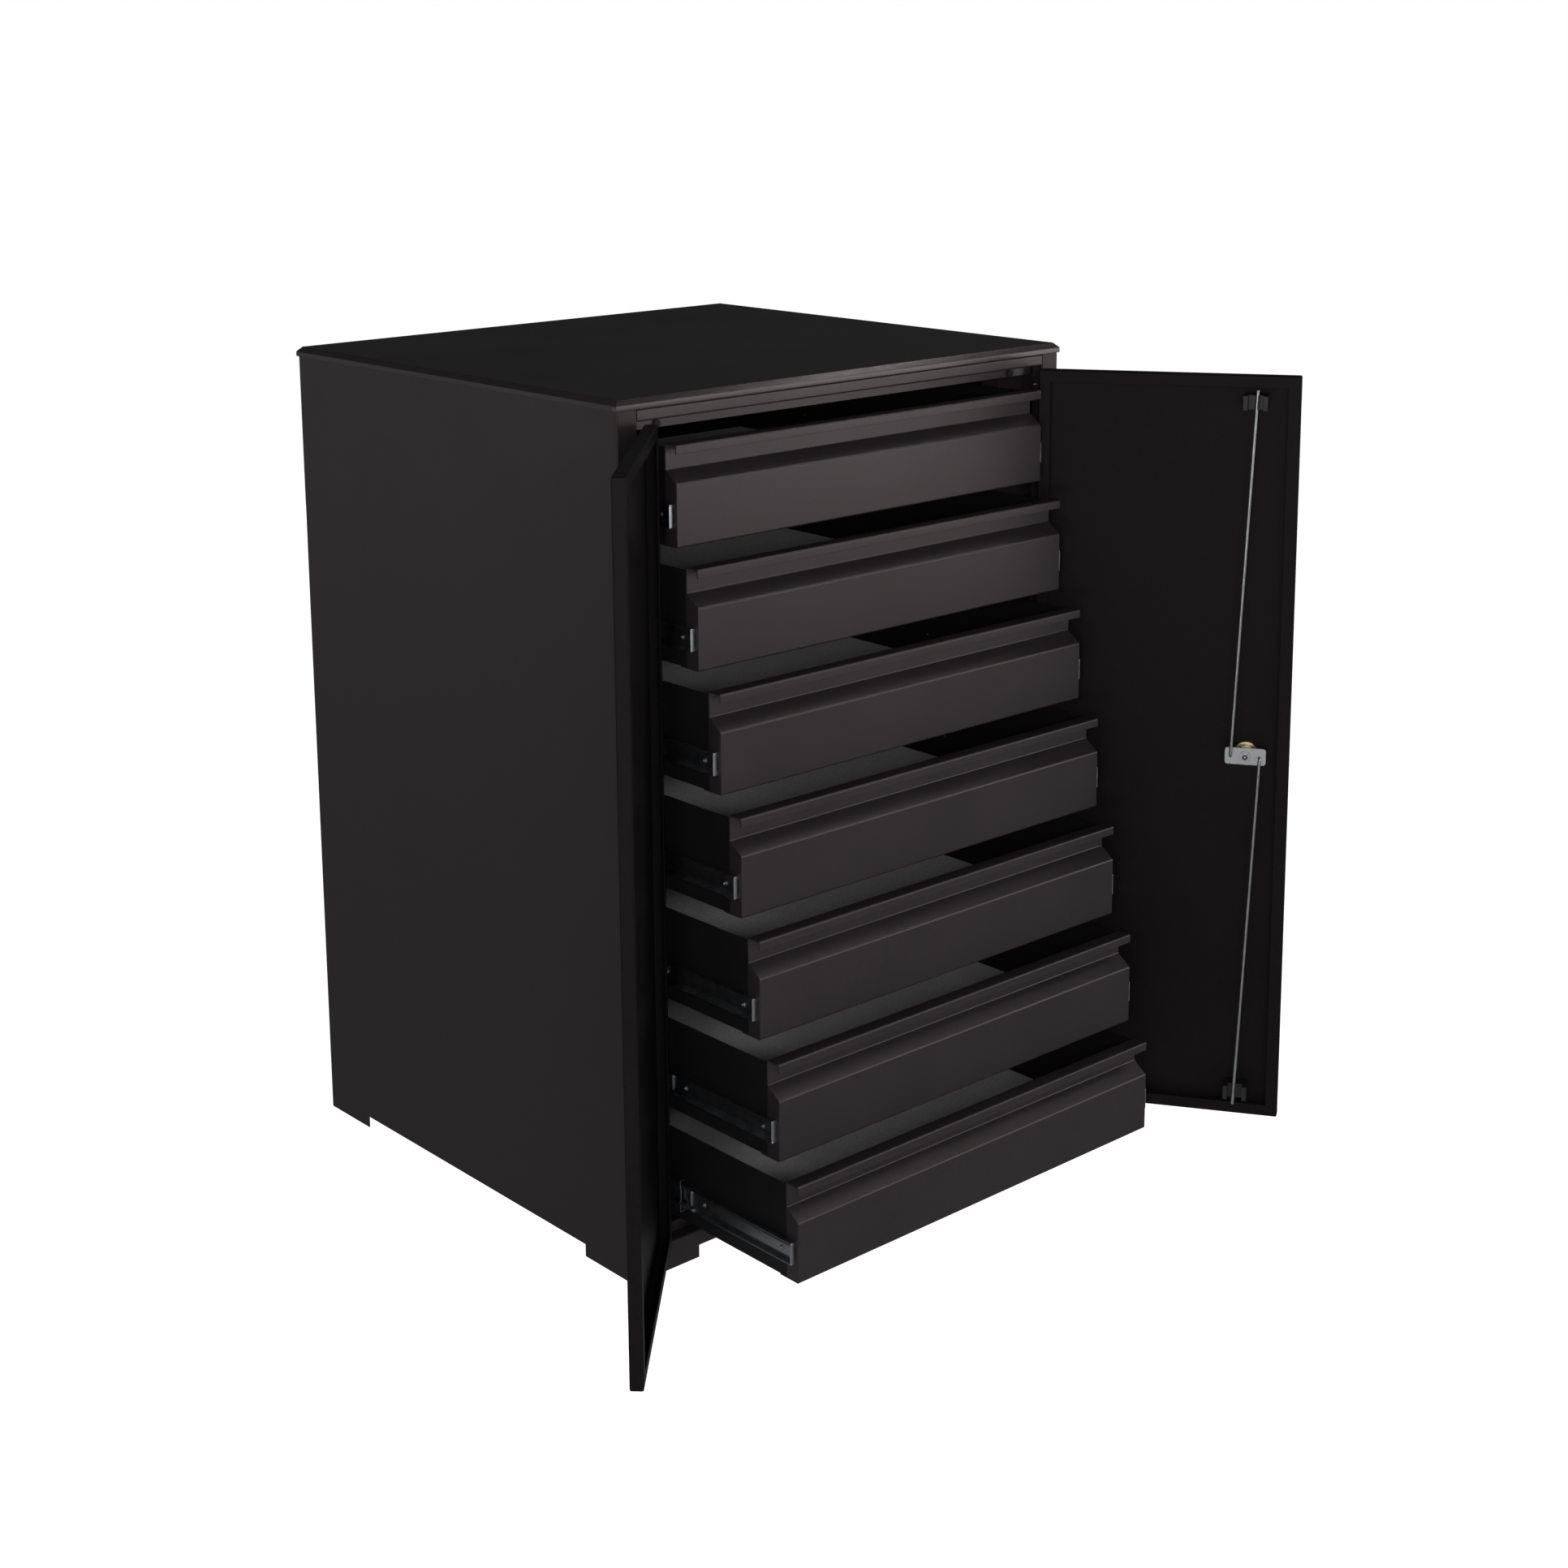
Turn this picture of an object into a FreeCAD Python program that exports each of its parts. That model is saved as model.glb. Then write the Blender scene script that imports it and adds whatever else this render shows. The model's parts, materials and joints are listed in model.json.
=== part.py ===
"""Steel drawer cabinet with seven drawers on ball runners and two hinged doors.

Millimetres, +Z up. The origin is on the floor, under the middle of the cabinet's footprint,
and the cabinet faces -Y. Inside the formulas a place is written from the left outer side,
from the front plane and from the floor, and the seat of each piece moves it to the origin.
"""
import FreeCAD, Part
import os
import re

import Sketcher

DRAWERS = 7
SIDES = ("left", "right")

# Every driving dimension of the cabinet, each written once.
SIZES = {
    # shell
    "cab_width": 691,
    "cab_depth": 642,
    "body_height": 1000,
    "shell_sheet": 1.5,
    "post_width": 28,
    "post_return": 16,
    "rear_flange": 20,
    "foot_height": 15,
    "side_foot": 90,
    "front_foot": 97,
    "plinth_height": 34,
    "rail_height": 14,
    "stop_height": 12,
    "rail_shelf": 30,
    "pan_skirt": 12,
    "cover_height": 12,
    "cover_overhang": 2,
    "cover_chamfer": 6,
    "cover_lip": 15,
    # perforated uprights
    "upright_width": 30,
    "upright_front": 55,
    "upright_back_gap": 57,
    "upright_gap": 2,
    "slot_width": 6,
    "slot_height": 14,
    "slot_pitch": 25,
    # drawers
    "head_room": 13.2,
    "sill_room": 19.5,
    "drawer_gap": 18.2,
    "drawer_back_gap": 50,
    "lock_room": 17,
    "front_sheet": 1.5,
    "face_hem": 30,
    "grip_setback": 18.3,
    "grip_rise": 13.4,
    "lip_top": 42.3,
    "lip_drop": 10.2,
    "box_sheet": 1.2,
    "box_top": 39,
    "mat_thick": 2,
    "mat_gap": 1.5,
    # ball runners: an outer member on the cabinet, a middle one, an inner one on the drawer
    "runner_gap": 12.7,
    "runner_inset": 5,
    "runner_sheet": 1.2,
    "outer_height": 45.7,
    "outer_reach": 10,
    "middle_height": 38.5,
    "middle_web": 8.9,
    "middle_reach": 7.4,
    "inner_height": 25.5,
    "inner_reach": 7.4,
    # how far each drawer and each middle member stands out of its closed place
    "drawer_out_1": 59.1,
    "drawer_out_2": 92.1,
    "drawer_out_3": 127,
    "drawer_out_4": 158.8,
    "drawer_out_5": 186.9,
    "drawer_out_6": 216.7,
    "drawer_out_7": 246,
    "middle_out_1": 0,
    "middle_out_2": 0,
    "middle_out_3": 0,
    "middle_out_4": 0,
    "middle_out_5": 0,
    "middle_out_6": 0,
    "middle_out_7": 62,
    # doors
    "door_side_gap": 1.5,
    "door_runner_gap": 0.6,
    "hinge_relief": 0.3,
    "door_edge": 1.5,
    "door_meet": 3,
    "door_thick": 15,
    "door_sheet": 1,
    "door_lip": 20,
    "door_stop_gap": 3,
    "door_head_gap": 2,
    "door_sill_gap": 8,
    "door_open_left": 134.5,
    "door_open_right": 123.4,
    "bumper_radius": 4.5,
    "bumper_inset": 40,
    "bumper_gap": 0.3,
    # hinges
    "knuckle_radius": 2.7,
    "knuckle_length": 30,
    "knuckle_gap": 0.4,
    "pin_radius": 1.4,
    "pin_clearance": 0.05,
    "leaf_width": 18,
    "leaf_thick": 1.2,
    "hinge_end": 90,
    # lock with a turning plate and two rods
    "lock_inset": 52.5,
    "barrel_radius": 11,
    "barrel_flange": 17,
    "barrel_proud": 2,
    "ring_radius": 15,
    "ring_thick": 6,
    "spindle_radius": 5,
    "stud_radius": 3,
    "lock_clearance": 0.05,
    "handle_length": 76,
    "handle_width": 14,
    "handle_height": 16,
    "handle_stem": 8,
    "handle_stem_radius": 10,
    "handle_gap": 0.2,
    "plate_gap": 2,
    "barrel_end_gap": 1,
    "plate_thick": 2.5,
    "plate_length": 50,
    "plate_width": 21.6,
    "nut_radius": 7.5,
    "nut_thick": 6,
    "cam_arm": 17.6,
    "crank_pin": 2.8,
    "crank_pin_end": 1,
    "rod_gap": 0.6,
    "rod_radius": 3.9,
    "rod_end_gap": 16,
    "rod_tip_radius": 4.3,
    "rod_tip_length": 53,
    "eye_radius": 6.5,
    "eye_thick": 5,
    "guide_width": 29,
    "guide_height": 18,
    "guide_slot": 18,
    "guide_step": 1.5,
    "guide_from_tip": 16,
    # how far a cutting tool or a fused end runs past the face it works on
    "lap": 1,
}

WORD = re.compile(r"\b[a-z_][a-z_0-9]*\b")
PLANES = {"XY": "XY_Plane", "XZ": "XZ_Plane", "YZ": "YZ_Plane"}

# Places that several pieces share. A door that stands square open just clears the middle runners.
STOP_SETBACK = "(door_thick + door_stop_gap)"
STOP_BACK = f"({STOP_SETBACK} + shell_sheet)"
HINGE_INSET = "(post_width + door_side_gap + door_edge)"
HINGE_PROUD = "(knuckle_radius + hinge_relief)"
DOOR_BACK = f"({HINGE_PROUD} + door_thick)"
DRAWER_LEFT = f"({HINGE_INSET} + {DOOR_BACK} + door_runner_gap + middle_web)"
DRAWER_WIDTH = f"(cab_width - 2*{DRAWER_LEFT})"
UPRIGHT_FACE = f"({DRAWER_LEFT} - runner_gap)"
OPENING_TOP = "(body_height - rail_height - stop_height)"
OPENING_BOTTOM = "(plinth_height + stop_height)"
DRAWER_PITCH = f"(({OPENING_TOP} - head_room - {OPENING_BOTTOM} - sill_room + drawer_gap)/{DRAWERS})"
FACE_HEIGHT = f"({DRAWER_PITCH} - drawer_gap - lip_top)"
CLOSED_SETBACK = "(door_thick + lock_room)"
DRAWER_DEPTH = f"(cab_depth - {CLOSED_SETBACK} - drawer_back_gap)"
RUNNER_LENGTH = f"({DRAWER_DEPTH} - 2*runner_inset)"
GRIP_SLOPE = "(grip_rise/grip_setback)"
GRIP_SHADE = f"(front_sheet*sqrt(1 + {GRIP_SLOPE}^2))"
FRONT_BACK = "(grip_setback + front_sheet)"
SLOPE_UNDER_FRONT = f"({GRIP_SLOPE}*front_sheet - {GRIP_SHADE})"
SLOPE_UNDER_BACK = f"({GRIP_SLOPE}*{FRONT_BACK} - {GRIP_SHADE})"
DOOR_WIDTH = f"(cab_width/2 - {HINGE_INSET} + door_edge - door_meet/2)"
DOOR_BOTTOM = "(plinth_height + door_sill_gap)"
DOOR_TOP = "(body_height - rail_height - door_head_gap)"
DOOR_HEIGHT = f"({DOOR_TOP} - {DOOR_BOTTOM})"
DOOR_SKIN = f"({HINGE_PROUD} + door_sheet)"
BARREL_FRONT = f"({HINGE_PROUD} - barrel_proud)"
PLATE_DEPTH = f"({DOOR_BACK} + plate_gap)"
PLATE_FRONT = f"({PLATE_DEPTH} + plate_thick)"
ROD_DEPTH = f"({PLATE_FRONT} + rod_gap + rod_radius)"
ROD_REACH = f"({DOOR_HEIGHT}/2 - rod_end_gap)"
ROD_TILT = f"asin(cam_arm/{ROD_REACH})"
LOCK_X = f"(-({DOOR_WIDTH} - door_edge - lock_inset))"
LOCK_HEIGHT = f"({DOOR_BOTTOM} + {DOOR_HEIGHT}/2)"

doc = FreeCAD.newDocument("drawer_cabinet")
sizes = doc.addObject("Spreadsheet::Sheet", "sizes")
nodes = {}


def fill_sheet():
    """Write each driving dimension to its own cell, under its own name."""
    for row, (name, number) in enumerate(SIZES.items(), start=1):
        sizes.set(f"A{row}", name)
        sizes.set(f"B{row}", str(number))
        sizes.setAlias(f"B{row}", name)
    doc.recompute()


def ex(formula):
    """A formula in plain size names, as an expression that reads the sheet."""
    def from_sheet(word):
        name = word.group()
        return f"sizes.{name}" if name in SIZES else name
    return WORD.sub(from_sheet, str(formula))


def bind(thing, **formulas):
    """Bind properties of an object to formulas."""
    for name, formula in formulas.items():
        thing.setExpression(name, ex(formula))


def move(thing, x, y, z):
    """Bind an object's place to three formulas."""
    for axis, formula in zip("xyz", (x, y, z)):
        thing.setExpression(f"Placement.Base.{axis}", ex(formula))


def turned(axis, degrees):
    """A placement at the origin, turned about an axis."""
    return FreeCAD.Placement(FreeCAD.Vector(), FreeCAD.Rotation(FreeCAD.Vector(*axis), degrees))


def turn(thing, axis, angle):
    """Bind an object's turn about an axis to a formula in degrees."""
    thing.Placement = turned(axis, 1)
    thing.setExpression("Placement.Rotation.Angle", ex(angle))


def block(name, corner, size):
    """A box from its low corner and its three lengths."""
    box = doc.addObject("Part::Box", name)
    bind(box, Length=size[0], Width=size[1], Height=size[2])
    move(box, *corner)
    return box


def rod(name, base, radius, length, axis="Z"):
    """A cylinder from the middle of its low end, along X, Y or Z."""
    cylinder = doc.addObject("Part::Cylinder", name)
    bind(cylinder, Radius=radius, Height=length)
    if axis == "Y":
        cylinder.Placement = turned((1, 0, 0), -90)
    move(cylinder, *base)
    return cylinder


def fuse(name, *shapes):
    """One solid from several that touch or overlap."""
    joined = doc.addObject("Part::MultiFuse", name)
    joined.Shapes = list(shapes)
    joined.Refine = True
    return joined


def cut(name, base, *tools):
    """What is left of a solid when the tools are taken out of it."""
    left = doc.addObject("Part::Cut", name)
    left.Base = base
    left.Tool = tools[0] if len(tools) == 1 else fuse(name + "_tools", *tools)
    left.Refine = True
    return left


def group(name, *members):
    """Separate solids of the same kind in one node."""
    together = doc.addObject("Part::Compound", name)
    together.Links = list(members)
    return together


def prism(name, plane, outline, start, length):
    """A PartDesign body: a closed outline of straight edges, padded along the plane's normal."""
    body = doc.addObject("PartDesign::Body", name)
    outline_sketch = body.newObject("Sketcher::SketchObject", name + "_outline")
    support = next(feature for feature in body.Origin.OriginFeatures if feature.Role == PLANES[plane])
    outline_sketch.AttachmentSupport = [(support, "")]
    outline_sketch.MapMode = "FlatFace"
    outline_sketch.setExpression("AttachmentOffset.Base.z", ex(start))
    draw_outline(outline_sketch, outline)
    pad = body.newObject("PartDesign::Pad", name + "_pad")
    pad.Profile = outline_sketch
    bind(pad, Length=length)
    return body


def draw_outline(sketch, outline):
    """Closed straight edges whose corners are each held by two dimensions from the origin."""
    corners = [FreeCAD.Vector(reading(across), reading(up), 0) for across, up in outline]
    count = len(corners)
    for index in range(count):
        sketch.addGeometry(Part.LineSegment(corners[index], corners[(index + 1) % count]))
    for index in range(count):
        sketch.addConstraint(Sketcher.Constraint("Coincident", index, 2, (index + 1) % count, 1))
    for index, (across, up) in enumerate(outline):
        for kind, letter, formula in (("DistanceX", "x", across), ("DistanceY", "y", up)):
            added = sketch.addConstraint(Sketcher.Constraint(kind, -1, 1, index, 1, reading(formula)))
            sketch.renameConstraint(added, f"{letter}{index}")
            sketch.setExpression(f"Constraints.{letter}{index}", ex(formula))


def reading(formula):
    """The present value of a formula."""
    return float(sizes.evalExpression(ex(f"({formula})*1.0")))


def node(name, shape, place, angle=None):
    """Keep a finished piece under its name, at its seat in the cabinet's frame."""
    shape.Label = name
    if angle is not None:
        turn(shape, (0, 0, 1), f"({angle})*1 deg")
    x, y, z = place
    move(shape, f"{x} - cab_width/2", f"{y} - cab_depth/2", z)
    nodes[name] = shape


def mirrored(side, formula):
    """A distance from the left side, or the same distance from the right side."""
    return formula if side == "left" else f"(-({formula}))"


CABINET = ("0", "0", "0")
SIDE_SEAT = {"left": ("0", "0", "0"), "right": ("cab_width", "0", "0")}


def side_panel(side):
    """One side with its front post, the post's return and a rear flange, notched into two feet."""
    points = [
        ("0", "0"),
        ("post_width", "0"),
        ("post_width", "post_return"),
        ("post_width - shell_sheet", "post_return"),
        ("post_width - shell_sheet", "shell_sheet"),
        ("shell_sheet", "shell_sheet"),
        ("shell_sheet", "cab_depth - shell_sheet"),
        ("rear_flange", "cab_depth - shell_sheet"),
        ("rear_flange", "cab_depth"),
        ("0", "cab_depth"),
    ]
    outline = [(mirrored(side, across), up) for across, up in points]
    name = f"side_panel_{side}"
    panel = prism(name + "_sheet", "XY", outline, "0", "body_height")
    notch = block(
        name + "_notch",
        ("-2*shell_sheet", "side_foot", "-shell_sheet"),
        ("4*shell_sheet", "cab_depth - 2*side_foot", "foot_height + shell_sheet"),
    )
    node(name, cut(name, panel, notch), SIDE_SEAT[side])


def top_cover():
    """The lid: a shallow pan upside down, with a sloping edge all round and an inner lip to rest on."""
    width = "(cab_width + 2*cover_overhang)"
    depth = "(cab_depth + 2*cover_overhang)"
    outline = [("0", "0"), (width, "0"), (width, depth), ("0", depth)]
    body = prism("top_cover_shell", "XY", outline, "0", "cover_height")
    doc.recompute()
    top = face_at(body.Tip, reading("cover_height"))
    edge = body.newObject("PartDesign::Chamfer", "top_cover_slope")
    edge.Base = (body.getObject("top_cover_shell_pad"), [top])
    bind(edge, Size="cover_chamfer")
    hollow = block(
        "top_cover_hollow",
        ("cover_chamfer", "cover_chamfer", "shell_sheet"),
        (f"{width} - 2*cover_chamfer", f"{depth} - 2*cover_chamfer", "cover_height - 2*shell_sheet"),
    )
    window = block(
        "top_cover_window",
        ("cover_lip", "cover_lip", "-shell_sheet"),
        (f"{width} - 2*cover_lip", f"{depth} - 2*cover_lip", "3*shell_sheet"),
    )
    lid = cut("top_cover", body, hollow, window)
    node("top_cover", lid, ("-cover_overhang", "-cover_overhang", "body_height"))


def face_at(feature, height):
    """The name of the level face at a height."""
    for index, face in enumerate(feature.Shape.Faces, start=1):
        level = abs(face.normalAt(0, 0).z) > 0.99
        if level and abs(face.CenterOfMass.z - height) < 0.001:
            return f"Face{index}"
    raise ValueError(f"no level face at {height}")


def top_rail():
    """The rail over the doors: its face, the shelf the lid rests on and the door stop behind."""
    under = "(body_height - rail_height)"
    outline = [
        ("0", "body_height"),
        ("0", under),
        (STOP_SETBACK, under),
        (STOP_SETBACK, OPENING_TOP),
        (STOP_BACK, OPENING_TOP),
        (STOP_BACK, f"{under} + shell_sheet"),
        ("shell_sheet", f"{under} + shell_sheet"),
        ("shell_sheet", "body_height - shell_sheet"),
        ("rail_shelf", "body_height - shell_sheet"),
        ("rail_shelf", "body_height"),
    ]
    node("top_rail", prism("top_rail", "YZ", outline, "post_width", "cab_width - 2*post_width"), CABINET)


def front_plinth():
    """The sill under the doors, notched between the feet, with the lower door stop."""
    outline = [
        ("0", "0"),
        ("0", "plinth_height"),
        (STOP_SETBACK, "plinth_height"),
        (STOP_SETBACK, OPENING_BOTTOM),
        (STOP_BACK, OPENING_BOTTOM),
        (STOP_BACK, "plinth_height - shell_sheet"),
        ("shell_sheet", "plinth_height - shell_sheet"),
        ("shell_sheet", "0"),
    ]
    sill = prism("front_plinth_sheet", "YZ", outline, "post_width", "cab_width - 2*post_width")
    notch = block(
        "front_plinth_notch",
        ("front_foot", "-shell_sheet", "-shell_sheet"),
        ("cab_width - 2*front_foot", "3*shell_sheet", "foot_height + shell_sheet"),
    )
    node("front_plinth", cut("front_plinth", sill, notch), CABINET)


def rear_plinth():
    """The plain strip that closes the foot of the back."""
    strip = block(
        "rear_plinth_sheet",
        ("rear_flange", "cab_depth - shell_sheet", "0"),
        ("cab_width - 2*rear_flange", "shell_sheet", "plinth_height"),
    )
    notch = block(
        "rear_plinth_notch",
        ("front_foot", "cab_depth - 2*shell_sheet", "-shell_sheet"),
        ("cab_width - 2*front_foot", "3*shell_sheet", "foot_height + shell_sheet"),
    )
    node("rear_plinth", cut("rear_plinth", strip, notch), CABINET)


def base_pan():
    """The cabinet's floor, with a skirt turned down all round."""
    corner = ("shell_sheet", STOP_BACK, "plinth_height - pan_skirt")
    width = "(cab_width - 2*shell_sheet)"
    depth = f"(cab_depth - 2*shell_sheet - {STOP_BACK})"
    plate = block("base_pan_block", corner, (width, depth, "pan_skirt + shell_sheet"))
    under = block(
        "base_pan_under",
        ("2*shell_sheet", f"{STOP_BACK} + shell_sheet", "plinth_height - pan_skirt - shell_sheet"),
        (f"{width} - 2*shell_sheet", f"{depth} - 2*shell_sheet", "pan_skirt + shell_sheet"),
    )
    node("base_pan", cut("base_pan", plate, under), CABINET)


def back_panel():
    """The flat back, held inside the rear flanges."""
    sheet = block(
        "back_panel",
        ("shell_sheet", "cab_depth - 2*shell_sheet", "foot_height"),
        ("cab_width - 2*shell_sheet", "shell_sheet", "body_height - foot_height"),
    )
    node("back_panel", sheet, ("shell_sheet", "cab_depth - 2*shell_sheet", "foot_height"))


UPRIGHT_PLACE = {"front": "upright_front", "rear": "cab_depth - upright_width - upright_back_gap"}


def upright(side, end):
    """One perforated channel that carries the runners, open towards the side panel."""
    name = f"upright_{side}_{end}"
    sheet = "shell_sheet"
    points = [
        (sheet, "0"),
        (UPRIGHT_FACE, "0"),
        (UPRIGHT_FACE, "upright_width"),
        (sheet, "upright_width"),
        (sheet, f"upright_width - {sheet}"),
        (f"{UPRIGHT_FACE} - {sheet}", f"upright_width - {sheet}"),
        (f"{UPRIGHT_FACE} - {sheet}", sheet),
        (sheet, sheet),
    ]
    outline = [(mirrored(side, across), up) for across, up in points]
    foot = "(plinth_height + shell_sheet)"
    length = f"(body_height - upright_gap - {foot})"
    channel = prism(name, "XY", outline, foot, length)
    window = channel.newObject("Sketcher::SketchObject", name + "_slot")
    plane = next(feature for feature in channel.Origin.OriginFeatures if feature.Role == PLANES["YZ"])
    window.AttachmentSupport = [(plane, "")]
    window.MapMode = "FlatFace"
    low = "(upright_width - slot_width)/2"
    first = f"({foot} + slot_pitch)"
    draw_outline(window, [
        (low, first),
        (f"{low} + slot_width", first),
        (f"{low} + slot_width", f"{first} + slot_height"),
        (low, f"{first} + slot_height"),
    ])
    slot = channel.newObject("PartDesign::Pocket", name + "_pocket")
    slot.Profile = window
    slot.Type = "ThroughAll"
    slot.Reversed = side == "left"
    slots = channel.newObject("PartDesign::LinearPattern", name + "_slots")
    slots.Originals = [slot]
    slots.Direction = (window, ["V_Axis"])
    run = f"(floor(({length} - 3*slot_pitch)/slot_pitch)*slot_pitch)"
    bind(slots, Length=run, Occurrences=f"floor(({length} - 3*slot_pitch)/slot_pitch) + 1")
    channel.Tip = slots
    move(channel, SIDE_SEAT[side][0], UPRIGHT_PLACE[end], "0")
    return channel


def uprights():
    """The four channels, one front and one rear on each side."""
    channels = [upright(side, end) for side in SIDES for end in ("front", "rear")]
    node("uprights", group("uprights", *channels), CABINET)


def fold_height(drawer):
    """The height of a drawer's fold line, where its grip begins."""
    return f"({OPENING_TOP} - head_room - lip_top - {drawer - 1}*{DRAWER_PITCH})"


def channel_pair(name, away, reach, height, opens):
    """Two mirrored channels of a runner, whose webs stand a distance away from the drawer's sides."""
    low = f"(({FACE_HEIGHT} + ({height}))/-2)"
    members = []
    for side in SIDES:
        corner = f"-({away})" if side == "left" else f"{DRAWER_WIDTH} + ({away}) - ({reach})"
        inward = "-" if (side == "left") == (opens == "out") else "+"
        outside = block(
            f"{name}_{side}_outside",
            (corner, "runner_inset", low),
            (reach, RUNNER_LENGTH, height),
        )
        inside = block(
            f"{name}_{side}_inside",
            (f"{corner} {inward} runner_sheet", "runner_inset - runner_sheet", f"{low} + runner_sheet"),
            (reach, f"{RUNNER_LENGTH} + 2*runner_sheet", f"({height}) - 2*runner_sheet"),
        )
        members.append(cut(f"{name}_{side}", outside, inside))
    return members


def drawer_seat(drawer):
    """The left end of a drawer's face at its fold line, where the drawer stands at rest."""
    return (DRAWER_LEFT, f"{CLOSED_SETBACK} - drawer_out_{drawer}", fold_height(drawer))


def drawer_front(drawer):
    """Face, sloping grip, grip wall, top strip and lip in one sheet, with a cheek at each end."""
    outline = [
        ("0", "lip_top - lip_drop"),
        ("0", "lip_top"),
        (FRONT_BACK, "lip_top"),
        (FRONT_BACK, SLOPE_UNDER_BACK),
        ("front_sheet", SLOPE_UNDER_FRONT),
        ("front_sheet", f"front_sheet - {FACE_HEIGHT}"),
        ("face_hem", f"front_sheet - {FACE_HEIGHT}"),
        ("face_hem", f"-{FACE_HEIGHT}"),
        ("0", f"-{FACE_HEIGHT}"),
        ("0", "0"),
        ("grip_setback", "grip_rise"),
        ("grip_setback", "lip_top - front_sheet"),
        ("front_sheet", "lip_top - front_sheet"),
        ("front_sheet", "lip_top - lip_drop"),
    ]
    cheek = [
        ("front_sheet", f"front_sheet - {FACE_HEIGHT}"),
        (FRONT_BACK, f"front_sheet - {FACE_HEIGHT}"),
        (FRONT_BACK, SLOPE_UNDER_BACK),
        ("front_sheet", SLOPE_UNDER_FRONT),
    ]
    name = f"drawer_{drawer}_front"
    sheet = prism(name + "_sheet", "YZ", outline, "0", DRAWER_WIDTH)
    left = prism(name + "_cheek_left", "YZ", cheek, "0", "box_sheet")
    right = prism(name + "_cheek_right", "YZ", cheek, f"{DRAWER_WIDTH} - box_sheet", "box_sheet")
    node(name, fuse(name, sheet, left, right), drawer_seat(drawer))


def drawer_box(drawer):
    """The tray behind the front, open at the top, whose floor rests on the front's hem."""
    name = f"drawer_{drawer}_box"
    floor_under = f"(front_sheet - {FACE_HEIGHT})"
    length = f"({DRAWER_DEPTH} - {FRONT_BACK})"
    tray = block(
        name + "_block",
        ("0", FRONT_BACK, floor_under),
        (DRAWER_WIDTH, length, f"box_top - {floor_under}"),
    )
    hollow = block(
        name + "_hollow",
        ("box_sheet", f"{FRONT_BACK} + box_sheet", f"{floor_under} + box_sheet"),
        (f"{DRAWER_WIDTH} - 2*box_sheet", f"{length} - 2*box_sheet", f"box_top + {FACE_HEIGHT}"),
    )
    node(name, cut(name, tray, hollow), drawer_seat(drawer))


def drawer_mat(drawer):
    """The ribbed liner on the drawer's floor."""
    name = f"drawer_{drawer}_mat"
    edge = "(box_sheet + mat_gap)"
    x, y, z = drawer_seat(drawer)
    size = (f"{DRAWER_WIDTH} - 2*{edge}", f"{DRAWER_DEPTH} - {FRONT_BACK} - 2*{edge}", "mat_thick")
    floor_top = f"{z} + front_sheet + box_sheet - {FACE_HEIGHT}"
    place = (f"{x} + {edge}", f"{y} + {FRONT_BACK} + {edge}", floor_top)
    node(name, block(name, ("0", "0", "0"), size), place)


def drawer_runners(drawer):
    """The inner runner members, screwed to the drawer's sides."""
    name = f"drawer_{drawer}_runners"
    members = channel_pair(name, "inner_reach", "inner_reach", "inner_height", "out")
    node(name, group(name, *members), drawer_seat(drawer))


def middle_runners(drawer):
    """The middle runner members, which roll between the other two."""
    name = f"middle_runners_{drawer}"
    members = channel_pair(name, "middle_web", "middle_reach", "middle_height", "in")
    place = (DRAWER_LEFT, f"{CLOSED_SETBACK} - middle_out_{drawer}", fold_height(drawer))
    node(name, group(name, *members), place)


def cabinet_runners():
    """The outer runner members, hooked on the uprights, one pair to a drawer."""
    members = []
    for drawer in range(1, DRAWERS + 1):
        pair = channel_pair(f"outer_{drawer}", "runner_gap", "outer_reach", "outer_height", "in")
        level = group(f"outer_pair_{drawer}", *pair)
        move(level, DRAWER_LEFT, CLOSED_SETBACK, fold_height(drawer))
        members.append(level)
    node("cabinet_runners", group("cabinet_runners", *members), CABINET)


DOOR_TURN = {"left": "-door_open_left", "right": "door_open_right"}
DOOR_SEAT = {
    "left": (HINGE_INSET, f"-{HINGE_PROUD}", "0"),
    "right": (f"cab_width - {HINGE_INSET}", f"-{HINGE_PROUD}", "0"),
}


def along(side, low, length):
    """The low corner of a piece that lies from low for length, away from the hinge axis."""
    return low if side == "left" else f"-({low}) - ({length})"


def door(side, *holes):
    """A door pan: the face, four flanges and a lip turned in all round."""
    name = f"door_{side}"
    slab = block(
        name + "_slab",
        (along(side, "-door_edge", DOOR_WIDTH), HINGE_PROUD, DOOR_BOTTOM),
        (DOOR_WIDTH, "door_thick", DOOR_HEIGHT),
    )
    wide = f"({DOOR_WIDTH} - 2*door_sheet)"
    hollow = block(
        name + "_hollow",
        (along(side, "door_sheet - door_edge", wide), DOOR_SKIN, f"{DOOR_BOTTOM} + door_sheet"),
        (wide, "door_thick - 2*door_sheet", f"{DOOR_HEIGHT} - 2*door_sheet"),
    )
    clear = f"({DOOR_WIDTH} - 2*door_lip)"
    window = block(
        name + "_window",
        (
            along(side, "door_lip - door_edge", clear),
            f"{DOOR_BACK} - 2*door_sheet",
            f"{DOOR_BOTTOM} + door_lip",
        ),
        (clear, "3*door_sheet", f"{DOOR_HEIGHT} - 2*door_lip"),
    )
    node(name, cut(name, slab, hollow, window, *holes), DOOR_SEAT[side], DOOR_TURN[side])


def hinge_levels():
    """The heights of the three hinges of a door."""
    low = f"({DOOR_BOTTOM} + hinge_end)"
    high = f"({DOOR_TOP} - hinge_end)"
    return (low, f"(({low} + {high})/2)", high)


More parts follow.
